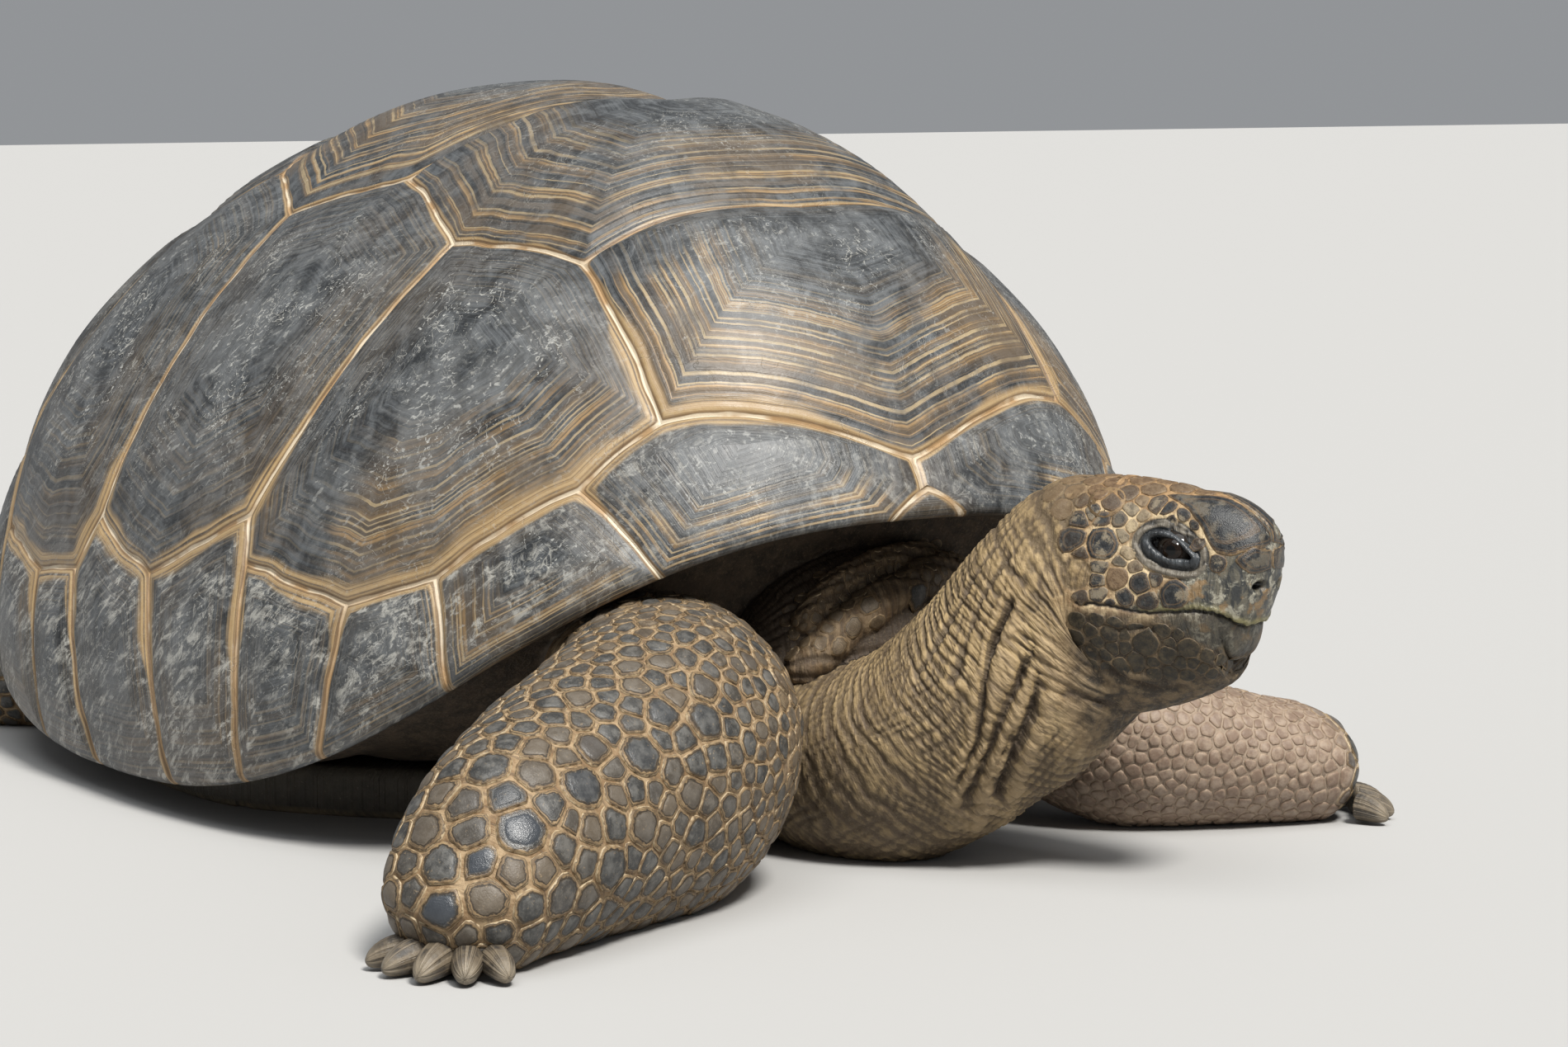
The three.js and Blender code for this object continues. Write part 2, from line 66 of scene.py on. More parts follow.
# Where seams meet: degrees from the nose, height up the dome, and the extra depth of a valley there.
JUNCTIONS = {
    "nuchalFoot": (2.4, 0), "nuchalPeak": (0, 0.034), "collar": (0, 0.086), "spine12": (0, 0.535, 3),
    "foot1": (26.5, 0), "foot2": (49.5, 0), "foot3": (64.4, 0), "foot4": (74, 0), "foot5": (83.2, 0),
    "foot6": (91.3, 0), "foot7": (99.9, 0), "foot8": (113.4, 0), "foot9": (130.3, 0),
    "foot10": (149.9, 0), "foot11": (168.8, 0), "head1": (35.1, 0.17), "head2": (51.4, 0.159),
    "head3": (61.9, 0.183), "head4": (76, 0.265), "head5": (88.4, 0.252), "head6": (97.4, 0.234),
    "head7": (104.7, 0.211), "head8": (118.9, 0.205), "head9": (135.4, 0.2), "head10": (153.9, 0.205),
    "head11": (170.2, 0.215), "first": (25.2, 0.211), "second": (34.1, 0.495), "third": (59, 0.607),
    "fourth": (83.1, 0.733), "fifth": (102, 0.665), "sixth": (133.8, 0.693), "seventh": (137.8, 0.582),
    "eighth": (160.5, 0.562), "ninth": (160.3, 0.3), "lap12": (77.2, 0.317), "lap23": (96, 0.299),
    "lap34": (127, 0.27), "spine23": (0, 0.87, 6), "spine34": (180, 0.74, 4),
    "spine45": (180, 0.545, 3), "spineTail": (180, 0.225),
}
MIDLINE_SCUTES = {
    "nuchal": "nuchalFootR nuchalPeak nuchalFootL",
    "vertebral_1": "collar firstL secondL spine12 secondR firstR",
    "vertebral_2": "spine12 secondL thirdL fourthL spine23 fourthR thirdR secondR",
    "vertebral_3": "spine23 fourthL fifthL sixthL spine34 sixthR fifthR fourthR",
    "vertebral_4": "spine34 sixthL seventhL eighthL spine45 eighthR seventhR sixthR",
    "vertebral_5": "spine45 eighthL ninthL head11L spineTail head11R ninthR eighthR",
    "supracaudal": "spineTail head11L foot11L foot11R head11R",
}
SIDE_SCUTES = {
    "costal_1": "second third lap12 head4 head3 head2 head1 first",
    "costal_2": "third fourth fifth lap23 head5 lap12",
    "costal_3": "fifth sixth seventh lap34 head8 head7 head6 lap23",
    "costal_4": "seventh eighth ninth head10 head9 lap34",
    "marginal_1": "nuchalFoot nuchalPeak collar first head1 foot1",
    "marginal_2": "foot1 head1 head2 foot2",
    "marginal_3": "foot2 head2 head3 foot3",
    "marginal_4": "foot3 head3 head4 foot4",
    "marginal_5": "foot4 head4 lap12 head5 foot5",
    "marginal_6": "foot5 head5 lap23 head6 foot6",
    "marginal_7": "foot6 head6 head7 foot7",
    "marginal_8": "foot7 head7 head8 foot8",
    "marginal_9": "foot8 head8 lap34 head9 foot9",
    "marginal_10": "foot9 head9 head10 foot10",
    "marginal_11": "foot10 head10 ninth head11 foot11",
}

# The head's places are ahead of, to the left of and above the midpoint between the eyes.
HEAD_TURN = math.radians(25)          # to the left
EYE_LINE = np.array((731, 122, 253))
CAD_EYES = (-4, 0, -5)                # the midpoint between the CAD's eyes
# Limbs, as stations of x, y, z, half width, height above and depth below. The head's leave out y.
HEAD_SECTIONS = [
    (-85, -40, 61, 80, 92), (-55, -40, 57, 83, 90), (-25, -38, 51, 80, 85), (5, -35, 46, 74, 76),
    (26, -32, 41, 67, 63), (40, -33, 35, 57, 54), (49, -36, 30, 41, 47), (58, -39, 24, 30, 38),
]
NECK_STATIONS = [
    (320, 0, 150, 90, 80, 90), (425, -2, 100, 100, 80, 104), (508, 6, 88, 90, 66, 95),
    (588, 48, 140, 77, 76, 92),
]
HINDLEG = [
    (-220, 140, 150, 74, 64, 76), (-300, 212, 122, 74, 62, 80), (-368, 284, 84, 66, 38, 88),
    (-424, 338, 54, 62, 24, 68), (-466, 362, 42, 58, 28, 52), (-494, 376, 35, 50, 24, 44),
]
LEGS = {
    "foreleg_right": [
        (330, -150, 150, 70, 60, 80), (430, -165, 135, 80, 72, 90), (545, -212, 112, 100, 98, 122),
        (612, -318, 86, 90, 90, 100), (668, -408, 66, 72, 74, 80), (694, -450, 48, 60, 50, 64),
        (716, -484, 38, 50, 34, 50)],
    "foreleg_left": [
        (330, 150, 140, 65, 55, 70), (420, 190, 108, 75, 60, 80), (505, 232, 80, 72, 56, 86),
        (540, 298, 56, 60, 50, 62), (554, 346, 48, 56, 46, 54), (562, 376, 42, 50, 38, 48),
        (570, 402, 36, 44, 28, 42)],
    "hindleg_right": [(x, -y, *rest) for x, y, *rest in HINDLEG],
    "hindleg_left": HINDLEG,
}
TAIL = [
    (-380, 0, 110, 46, 40, 46), (-440, 0, 90, 46, 44, 46), (-500, 8, 60, 36, 34, 36),
    (-540, 32, 40, 24, 23, 24), (-556, 66, 28, 15, 15, 15), (-560, 92, 22, 9, 9, 9),
]
SHOULDER_FOLD = {"centre": (440, 25, 128), "radii": (82, 128, 104)}
FRONT_HOLLOW = {"centre": (600, 0, 110), "radii": (185, 420, 215)}
PLASTRON_HALF = [(-400, 90), (-372, 160), (-300, 200), (-225, 250), (-150, 340), (0, 354), (90, 338),
                 (165, 285), (225, 232), (330, 195), (405, 150), (432, 90)]
GULAR_NOTCH, ANAL_NOTCH = 418, -372
PLASTRON_THICKNESS = 40


# ---- numbers and places -------------------------------------------------------------------------
def unit(vectors):
    """The vectors, each made one long."""
    return vectors / np.maximum(np.linalg.norm(vectors, axis=-1, keepdims=True), 1e-9)


def ease(value, start, end):
    """0 before start, 1 after end, smooth between."""
    t = np.clip((value - start) / (end - start), 0, 1)
    return t * t * (3 - 2 * t)


def bell(value, width):
    """1 where the value is 0, falling away smoothly over the width."""
    return np.exp(-(value / width) ** 2)


def smooth_table(knots):
    """A natural cubic through (place, value) knots that is flat at both ends."""
    x, y = np.array(knots, float).T
    slopes = np.zeros(len(x))
    for _ in range(60):
        for i in range(1, len(x) - 1):
            before, after = x[i] - x[i - 1], x[i + 1] - x[i]
            pull = 3 * (after * (y[i] - y[i - 1]) / before + before * (y[i + 1] - y[i]) / after)
            slopes[i] = (pull - after * slopes[i - 1] - before * slopes[i + 1]) / (2 * (before + after))

    def at(place):
        i = np.clip(np.searchsorted(x, place) - 1, 0, len(x) - 2)
        width = x[i + 1] - x[i]
        t = (place - x[i]) / width
        lead = t * (1 - t) ** 2 * width * slopes[i]
        trail = t * t * (1 - t) * width * slopes[i + 1]
        return y[i] + (y[i + 1] - y[i]) * t * t * (3 - 2 * t) + lead - trail
    return at


def noise(points, size, seed=0):
    """Smooth noise from about -1 to 1 with lumps about size across."""
    place = np.asarray(points, float) / size
    cell = np.floor(place).astype(np.int64)
    part = place - cell
    part = part * part * (3 - 2 * part)
    total = np.zeros(len(place))
    for corner in range(8):
        step = np.array((corner & 1, corner >> 1 & 1, corner >> 2))
        key = (cell + step) @ np.array((374761393, 668265263, 1440670441)) + seed * 974634777
        key = (key ^ (key >> 13)) * 1274126177 & 0xFFFFFFFF
        value = ((key ^ (key >> 16)) & 0xFFFF) / 32767.5 - 1
        total += value * np.prod(np.where(step, part, 1 - part), axis=1)
    return total


def turns(count):
    """That many even angles round a circle."""
    return np.arange(count) / count * 2 * np.pi


def near_line(points, line):
    """Distance from each point to a broken line."""
    best = np.full(len(points), 1e9)
    line = np.asarray(line, float)
    for start, end in zip(line[:-1], line[1:]):
        span = end - start
        t = np.clip((points - start) @ span / (span @ span), 0, 1)
        best = np.minimum(best, np.linalg.norm(points - start - t[:, None] * span, axis=1))
    return best


def rounded(outline, cut):
    """A closed line with its corners cut twice, each time that share of the way along its sides."""
    line = np.asarray(outline, float)
    for _ in range(2):
        after = np.roll(line, -1, axis=0)
        ends = [line * (1 - cut) + after * cut, line * cut + after * (1 - cut)]
        line = np.stack(ends, axis=1).reshape(-1, line.shape[1])
    return np.vstack([line, line[:1]])


def lengths(line):
    """How far along a line each of its points is."""
    return np.concatenate([[0], np.cumsum(np.linalg.norm(np.diff(line, axis=0), axis=1))])


def along_line(line, at):
    """The places that far along a line."""
    arc = lengths(line)
    return np.stack([np.interp(at, arc, line[:, k]) for k in range(line.shape[1])], axis=1)


def head_point(ahead, left, above):
    """A place from the head's own directions."""
    cos, sin = math.cos(HEAD_TURN), math.sin(HEAD_TURN)
    return EYE_LINE + np.array((ahead * cos - left * sin, ahead * sin + left * cos, above))


def to_head(points):
    """Places in the head's own directions."""
    cos, sin = math.cos(HEAD_TURN), math.sin(HEAD_TURN)
    x, y, z = (points - EYE_LINE).T
    return np.stack([x * cos + y * sin, y * cos - x * sin, z], axis=1)


def box_middle(node):
    """The middle of a CAD node's box in the frame, in metres."""
    low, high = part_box(node)
    return np.array((low + high) / 2)


# Where the frame puts the middle of the shell's plan, from the eyes' nodes.
HOME = (box_middle("eye_left") + box_middle("eye_right")) / 2 - head_point(*CAD_EYES) * MM


# ---- meshes -------------------------------------------------------------------------------------
def build(name, points, faces, materials, **values):
    """A smooth mesh object from points in millimetres, with values kept at its points."""
    mesh = bpy.data.meshes.new(name)
    corners = np.concatenate([part.ravel() for part in faces]).astype(np.int32)
    sizes = np.concatenate([np.full(len(part), part.shape[1]) for part in faces])
    starts = np.concatenate([[0], np.cumsum(sizes)[:-1]]).astype(np.int32)
    mesh.vertices.add(len(points))
    mesh.vertices.foreach_set("co", (points * MM + HOME).ravel())
    mesh.loops.add(len(corners))
    mesh.loops.foreach_set("vertex_index", corners)
    mesh.polygons.add(len(sizes))
    mesh.polygons.foreach_set("loop_start", starts)
    mesh.polygons.foreach_set("use_smooth", np.ones(len(sizes), bool))
    mesh.update(calc_edges=True)
    for key, value in values.items():
        data = mesh.attributes.new(key, "FLOAT", "POINT").data
        data.foreach_set("value", np.asarray(value, float))
    for material in materials:
        mesh.materials.append(material)
    thing = bpy.data.objects.new(name, mesh)
    bpy.context.scene.collection.objects.link(thing)
    return thing


def place(thing, slot, *nodes):
    """Puts a finished piece on the body and hides the nodes it stands for; the slot is not used."""
    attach(thing, "root")
    if nodes:
        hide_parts(*nodes)


def tube_faces(rows, columns, first=0):
    """Quads between rows of a closed grid of columns, numbered row by row from first."""
    row, column = np.meshgrid(np.arange(rows - 1), np.arange(columns), indexing="ij")
    a = first + row * columns + column
    b = first + row * columns + (column + 1) % columns
    return np.stack([a, b, b + columns, a + columns], axis=-1).reshape(-1, 4)


def fan_faces(centre, first, columns, turned=False):
    """Triangles from a centre point to a ring of columns."""
    ring = first + np.arange(columns)
    ends = np.roll(ring, -1)
    middle = np.full(columns, centre)
    return np.stack([middle, ends, ring] if turned else [middle, ring, ends], axis=-1)


def facing_out(points, faces):
    """The faces, turned round if they enclose a negative volume."""
    volume = 0
    for part in faces:
        corners = points[part]
        for k in range(1, part.shape[1] - 1):
            crossed = np.cross(corners[:, k], corners[:, k + 1])
            volume += np.einsum("ij,ij->i", corners[:, 0], crossed).sum()
    return faces if volume > 0 else [part[:, ::-1] for part in faces]


def closed_faces(points, columns):
    """Faces of a closed surface whose points are a middle, rings of columns, and another middle."""
    last = len(points) - 1
    return facing_out(points, [
        fan_faces(0, 1, columns),
        tube_faces((last - 1) // columns, columns, 1)[:, ::-1],
        fan_faces(last, last - columns, columns, turned=True),
    ])


def ring_mesh(rings, columns):
    """A closed mesh of rings of points, each end drawn together to its middle."""
    points = np.vstack([rings[:columns].mean(axis=0), rings, rings[-columns:].mean(axis=0)])
    return points, closed_faces(points, columns)


# ---- the shell ----------------------------------------------------------------------------------
SEAM_STEP = 5 * COARSE                # between the points of a seam
SEAM_WANDER = 0.0028                  # how far seams stray from a straight line on the disc
LIP = 9                               # how far in from the rim its rounding starts
GROOVE = {"depth": 2.0, "width": 2.6}  # the sharp groove along each seam
# Swelling of the middle, growth rings, rows of the mesh, and how far the old centre lies up the dome.
KINDS = {
    "vertebral": {"bulge": 15, "growth": 24, "rows": 54, "lift": 0.1},
    "costal": {"bulge": 10, "growth": 24, "rows": 54, "lift": 0.1},
    "marginal": {"bulge": 6, "growth": 13, "rows": 30, "lift": 0.03},
}
# How clearly the bands of the growth rings show on each plate.
RINGED = {"vertebral_1": 1.0, "costal_1": 0.7, "vertebral_2": 0.6, "marginal_1": 0.8,
          "marginal_2": 0.7, "marginal_3": 0.35, "vertebral_3": 0.7}
RINGED_ELSEWHERE = 0.25

rim_height = smooth_table(RIM_HEIGHTS)


def dome(disc):
    """Points of the dome for places on a disc whose centre is the crest, forward +x and right +y."""
    angle = np.arctan2(disc[:, 1], disc[:, 0])
    up = np.maximum(0, 1 - np.hypot(disc[:, 0], disc[:, 1]))
    cos, sin = np.cos(angle), np.sin(angle)
    power = 2 / SQUARENESS
    rim_x = SHELL_LENGTH / 2 * np.sign(cos) * np.abs(cos) ** power
    rim_y = -SHELL_WIDTH / 2 * np.sign(sin) * np.abs(sin) ** power * (1 - EGG * cos)
    front, rear = np.maximum(cos, 0) ** 2, np.minimum(cos, 0) ** 2
    flare, rise, shoulder = PROFILE.T @ np.stack([front, 1 - front - rear, rear])
    low = rim_height(np.degrees(np.abs(angle)))
    w = 1 - up
    reach = w ** 3 + 3 * w * w * up * (1 + flare) + 3 * w * up * up * shoulder
    z = w ** 3 * low + 3 * w * w * up * (low + rise) + (3 * w * up * up + up ** 3) * SHELL_HEIGHT
    return np.stack([CREST_FORWARD + (rim_x - CREST_FORWARD) * reach, rim_y * reach, z], axis=1)


def shell_at(disc, depth):
    """Places that far behind the dome's outside."""
    here = dome(disc)
    near_crest = np.hypot(disc[:, 0], disc[:, 1])[:, None] < 0.02
    inward = np.where(near_crest, disc + (0.01, 0), disc * 0.99)
    offset = inward - disc
    across = disc + np.stack([-offset[:, 1], offset[:, 0]], axis=1)
    across /= np.maximum(1, np.hypot(across[:, 0], across[:, 1]))[:, None]
    normal = unit(np.cross(dome(inward) - here, dome(across) - here))
    outward = np.einsum("ij,ij->i", normal, here * (0.6, 0.6, 1)) > 0
    normal = np.where(outward[:, None], normal, -normal)
    return here - normal * np.reshape(depth, (-1, 1))


def junction(name):
    """A junction's place on the disc, its valley's extra depth and whether it lies on the rim."""
    angle, up, *valley = JUNCTIONS[name.rstrip("LR")]
    side = -1 if name.endswith("L") else 1
    angle = math.radians(angle)
    return np.array([(1 - up) * math.cos(angle), side * (1 - up) * math.sin(angle), sum(valley), up == 0])


def seam(start_name, end_name):
    """Points along a seam, the same ones for both scutes that share it."""
    first, last = sorted((start_name, end_name))
    start, end = junction(first), junction(last)
    on_rim = start[3] and end[3]
    span = np.linalg.norm(np.subtract(*dome(np.array([start[:2], end[:2]]))))
    t = np.linspace(0, 1, max(2, round(span / SEAM_STEP)) + 1)[:, None]
    points = start + (end - start) * t
    points[:, 3] = on_rim
    if on_rim:
        points[:, :2] = unit(points[:, :2])
    else:
        across = unit(np.array([start[1] - end[1], end[0] - start[0]]))
        spread = SEAM_WANDER * np.minimum(1, 6 * t * (1 - t))
        stray = noise(dome(points[:, :2]), 26, 3)[:, None]
        points[:, :2] += across * stray * spread
    if first != start_name:
        points = points[::-1]
    return points[:-1]


def edge_gaps(points, edge):
    """Distance from each point to the seams round a scute, and to the part of its edge on the rim."""
    outline = dome(np.vstack([edge[:, :2], edge[:1, :2]]))
    on_rim = np.append(edge[:, 3], edge[0, 3])
    to_seam, to_rim = np.full(len(points), 400.0), np.full(len(points), 400.0)
    for k in range(len(edge)):
        gap = near_line(points, outline[k:k + 2])
        if on_rim[k] and (on_rim[k + 1] or k + 1 == len(edge)):
            to_rim = np.minimum(to_rim, gap)
        else:
            to_seam = np.minimum(to_seam, gap)
    return to_seam, to_rim


def scute(name, kind, corners, material):
    """One plate of horn, swelling from its edge, with growth rings round its old centre."""
    shape = KINDS[kind]
    edge = np.vstack([seam(a, b) for a, b in zip(corners, corners[1:] + corners[:1])])
    columns, rows = len(edge), shape["rows"] // COARSE
    centre = edge[:, :2].mean(axis=0) * (1 - shape["lift"])
    reach = 1 - (1 - np.linspace(0, 1, rows + 1)) ** 1.6
    disc = centre + reach[1:, None, None] * (edge[:, :2] - centre)
    disc = np.vstack([centre[None], disc.reshape(-1, 2)])
    s = np.concatenate([[0], np.repeat(reach[1:], columns)])
    valley = np.concatenate([[0], np.tile(edge[:, 2], rows)]) * s ** 3
    bare = dome(disc)
    to_seam, to_rim = edge_gaps(bare, edge)
    seed = (sum(map(ord, name)) * 7 % 101) / 101

    swell = shape["bulge"] * (1 - s ** 2.5)
    groove = GROOVE["depth"] * bell(to_seam, GROOVE["width"])
    turn = np.clip(1 - to_rim / LIP, 0, 1)
    lip = 6 * (1 - np.sqrt(1 - turn * turn))
    wobble = noise(bare, 40, 5) * 0.14 + noise(bare, 130, 6) * 0.5
    phase = s * shape["growth"] + wobble + seed * 9
    fade = ease(s, 0.18, 0.5) * ease(to_seam, 1, 6) * ease(to_rim, 2, 8)
    worn = 0.25 + 0.75 * ease(noise(bare, 95, 7), -0.5, 0.5)
    ridges = 0.42 * np.sin(phase * 2 * np.pi) * fade * worn
    lumps = 1.1 * noise(bare, 70, 8) * ease(to_seam, 0, 30)
    top = shell_at(disc, SULCUS + valley - swell + groove + lip - ridges - lumps)

    back_reach = (1, 0.6, 0.25)
    back_disc = np.vstack([centre + r * (edge[:, :2] - centre) for r in back_reach] + [centre[None]])
    back_valley = np.concatenate([edge[:, 2] * r ** 3 for r in back_reach] + [[0]])
    back = shell_at(back_disc, SCUTE_THICKNESS + back_valley)
    points = np.vstack([top, back])
    pad = np.full(len(back), 1.0)
    side = np.sign(edge[:, 1].mean()) if abs(centre[1]) > 0.02 else np.sign(disc[:, 1] - centre[1])
    fan = (disc[:, 0] - centre[0]) * 0.8 + (disc[:, 1] - centre[1]) * side * 0.6
    fan = fan / np.maximum(np.linalg.norm(disc - centre, axis=1), 1e-6) * s
    ringed = RINGED.get(name.replace("_left", "").replace("_right", ""), RINGED_ELSEWHERE)
    plate = build(
        f"{name}_horn", points, closed_faces(points, columns), [material],
        ring=np.concatenate([s, pad]), fan=np.concatenate([fan, pad * 0]),
        down=np.linalg.norm(np.vstack([disc, back_disc]), axis=1),
        seam=np.concatenate([to_seam, pad * 5]), inside=np.concatenate([s * 0, pad]),
        ringed=np.full(len(points), ringed), seed=np.full(len(points), seed))
    place(plate, "horn", name)


# ---- lofts --------------------------------------------------------------------------------------
def spline(knots, t):
    """Points along a centripetal Catmull-Rom curve through knots, for t from 0 to 1."""
    knots = np.asarray(knots, float)
    knots = np.vstack([2 * knots[0] - knots[1], knots, 2 * knots[-1] - knots[-2]])
    at = np.clip(t, 0, 1) * (len(knots) - 3)
    index = np.minimum(at.astype(int), len(knots) - 4)
    w = (at - index)[:, None]
    p0, p1, p2, p3 = (knots[index + k] for k in range(4))
    d0, d1, d2 = (np.sqrt(np.linalg.norm(b - a, axis=1))[:, None]
                  for a, b in ((p0, p1), (p1, p2), (p2, p3)))
    m1 = d1 * ((p1 - p0) / d0 - (p2 - p0) / (d0 + d1) + (p2 - p1) / d1)
    m2 = d1 * ((p2 - p1) / d1 - (p3 - p1) / (d1 + d2) + (p3 - p2) / d2)
    return p1 + m1 * w + (3 * (p2 - p1) - 2 * m1 - m2) * w ** 2 + (2 * (p1 - p2) + m1 + m2) * w ** 3


class Loft:
    """A rounded limb through stations, as a grid of rows from root to tip and columns round it."""

    def __init__(self, stations, columns, spacing):
        stations = np.array(stations, float)
        last = len(stations) - 1
        radii = [smooth_table([(i / last, row[k]) for i, row in enumerate(stations)]) for k in (3, 4, 5)]
        fine = np.linspace(0, 1, 3001)
        sizes = np.stack([radius(fine) for radius in radii]) * self.roundness(fine, last)
        steps = np.hypot(np.linalg.norm(np.diff(spline(stations[:, :3], fine), axis=0), axis=1),
                         np.diff(sizes.mean(axis=0)))
        count = np.concatenate([[0], np.cumsum(steps / spacing(fine[1:]))])
        self.rows, self.columns = int(count[-1]) + 1, columns
        self.t = np.interp(np.linspace(0, count[-1], self.rows + 1), count, fine)
        centre = spline(stations[:, :3], self.t)
        tiny = 1e-4
        self.along = unit(spline(stations[:, :3], self.t + tiny) - spline(stations[:, :3], self.t - tiny))
        side = unit(np.cross(self.along, (0, 0, 1)))
        up = np.cross(side, self.along)
        ends = self.roundness(self.t, last)[:, None]
        width, above, below = (radius(self.t)[:, None] * ends for radius in radii)
        self.turn = turns(columns)
        tall = np.sin(self.turn) * np.where(np.sin(self.turn) > 0, above, below)
        across = np.cos(self.turn) * width
        self.grid = centre[:, None] + side[:, None] * across[..., None] + up[:, None] * tall[..., None]
        self.arc = lengths(centre)
        self.offset(0)

    @staticmethod
    def roundness(t, last):
        to_end = np.clip(np.minimum(t, 1 - t) * last, 0, 1)
        return np.sqrt(1 - (1 - to_end) ** 2)

    def offset(self, rise):
        """Moves the surface along its normals, then works out the normals again."""
        if np.any(rise):
            self.grid = self.grid + self.normals * np.reshape(rise, (self.rows + 1, self.columns, 1))
        round_it = np.roll(self.grid, -1, axis=1) - np.roll(self.grid, 1, axis=1)
        self.normals = unit(np.cross(np.gradient(self.grid, axis=0), round_it))
        self.normals[0], self.normals[-1] = -self.along[0], self.along[-1]
        middle = self.grid[self.rows // 2]
        if np.sum(self.normals[self.rows // 2] * (middle - middle.mean(axis=0))) < 0:
            self.normals[1:-1] *= -1

    @property
    def points(self):
        return self.grid.reshape(-1, 3)

    def keep_above_floor(self):
        self.points[:, 2] = np.maximum(self.points[:, 2], 0.5)

    def spread(self, per_row):
        """One number for each row, repeated for all its points."""
        return np.repeat(per_row, self.columns)

    def mesh(self):
        """Points and faces of the closed surface, with which grid point each point came from."""
        keep = np.arange((self.rows + 1) * self.columns).reshape(self.rows + 1, self.columns)
        source = np.concatenate([keep[0, :1], keep[1:-1].ravel(), keep[-1, :1]])
        points = self.points[source]
        return points, closed_faces(points, self.columns), source

    def nearest(self, places):
        """The nearest of the loft's points to each place, and how far off it is."""
        tree = KDTree(len(self.points))
        for index, point in enumerate(self.points.tolist()):
            tree.insert(point, index)
        tree.balance()
        found = [tree.find(place) for place in places.tolist()]
        return np.array([f[1] for f in found]), np.array([f[2] for f in found])


def wrinkles(along, beside, points, spacing, seed, long=1.0):
    """Creases across a limb: 0 on the ridges, down to -1 in broken, wandering lines."""
    wander = 0.5 * noise(points, 52, seed) + 0.2 * noise(points, 19, seed + 1)
    phase = along / spacing + wander * 1.8
    number = np.round(phase)
    crease = np.exp(-((np.abs(phase - number) * spacing / (0.16 * spacing + 0.25)) ** 2))
    lane = np.stack([beside / (11 * long), number * 2.7, number * 0 + seed], axis=1)
    return -crease * ease(noise(lane, spacing / 4 + 0.8, seed + 2), -0.75, 0.35)


# ---- head and neck ------------------------------------------------------------------------------
# Landmarks of the head's right half, mirrored: ahead of, out from and above EYE_LINE.
EYE_OPENING = [(-17, 3), (-12, 5.5), (-4, 5), (4, 1.2), (10.5, -4), (17, -9), (9, -9), (0, -8),
               (-9, -5), (-15, -1)]
MOUTH = [(-66, 55, -44), (-43, 54, -44), (-27, 51, -47), (-14, 48, -48), (0, 46, -47),
         (21, 41, -45), (32, 36, -46), (41, 28, -51), (49, 15, -58), (54, 0, -58)]
NOSTRIL = (59, 15, -28)
EARDRUM, EARDRUM_RADIUS = (-68, 56, -24), 11
BEAK_SLOPE, BEAK_BACK = 0.6, -32      # the bare beak rises from the mouth line, from this far ahead
ORBIT = 13.5                          # how far the wrinkled ring reaches round the eye's opening
# Centre, radii and height of the soft swellings and hollows of the head.
LUMPS = [
    ((14, 32, 25), (24, 14, 9), 3.4), ((0, 46, -4), (29, 20, 21), -3.2),
    ((-50, 54, -54), (26, 30, 20), 3.5), ((44, 18, -84), (17, 24, 17), 8.0),
    ((30, 30, -20), (12, 12, 10), -1.8), ((-60, 40, 30), (26, 18, 14), 2.0),
    ((-90, 0, -118), (40, 40, 26), 4.0), ((-150, 0, 36), (60, 50, 30), 1.5),
]
# Depth, width and course of the deep folds behind the jaw and down the throat.
FOLDS = [
    (6.5, 2.4, [(-102, 58, -19), (-126, 73, -76), (-136, 75, -144), (-162, 68, -191)]),
    (7.0, 4.0, [(-99, 67, -75), (-107, 70, -105), (-126, 70, -146), (-150, 62, -186), (-176, 40, -214)]),
    (7.5, 4.4, [(-91, 65, -92), (-98, 63, -120), (-115, 61, -154), (-134, 50, -186), (-160, 20, -212)]),
    (4.0, 3.4, [(-88, 60, -106), (-71, 49, -111), (-55, 32, -119), (-44, 19, -122)]),
    (2.2, 2.4, [(-73, 59, -69), (-56, 50, -79), (-42, 42, -95), (-19, 31, -104), (11, 22, -101)]),
    (4.0, 3.2, [(-68, 41, -123), (-81, 38, -146), (-96, 17, -175)]),
    (1.6, 2.0, [(-57, 56, -53), (-37, 52, -62), (-15, 47, -59), (4, 42, -66)]),
    (3.0, 2.2, [(-116, 62, 6), (-140, 74, -40), (-152, 78, -100), (-180, 74, -160)]),
    (2.6, 2.0, [(-132, 50, 24), (-158, 70, -30), (-176, 78, -90), (-205, 74, -150)]),
    (3.2, 2.2, [(-108, 60, -120), (-118, 66, -150), (-134, 66, -186)]),
    (2.4, 1.8, [(-90, 62, -62), (-98, 66, -84), (-112, 70, -112)]),
    (3.0, 2.4, [(-120, 20, -168), (-140, 44, -188), (-168, 60, -206)]),
]
HEAD_COAT, LEG_COAT = 0.7, 2.6        # how far plates stand out of the skin


def snapped(line, where):
    """A broken line moved on to the surface."""
    line = np.asarray(line, float)
    t = np.linspace(0, len(line) - 1, 6 * len(line))
    dense = np.stack([np.interp(t, np.arange(len(line)), line[:, k]) for k in range(3)], axis=1)
    return where[[np.argmin(((where - place) ** 2).sum(axis=1)) for place in dense]]


def from_mark(mark, where, stretch=1):
    """Distance from a landmark moved on to the surface."""
    return np.linalg.norm((where - snapped([mark, mark], where)[0]) * stretch, axis=1)


def mirrored(body):
    """The loft's points in the head's directions, with the left half laid on the right."""
    where = to_head(body.points)
    where[:, 1] = np.abs(where[:, 1])
    return where


def above_mouth(ahead, above):
    """Whether places in the head's directions lie above the line of the mouth."""
    line = np.array(MOUTH)
    return above > np.interp(ahead, line[:, 0], line[:, 2])


def lower_lip(ahead):
    """How far the bare lip and beak reach below the mouth line."""
    return 6.5 + 17 * ease(ahead, -5, 28)


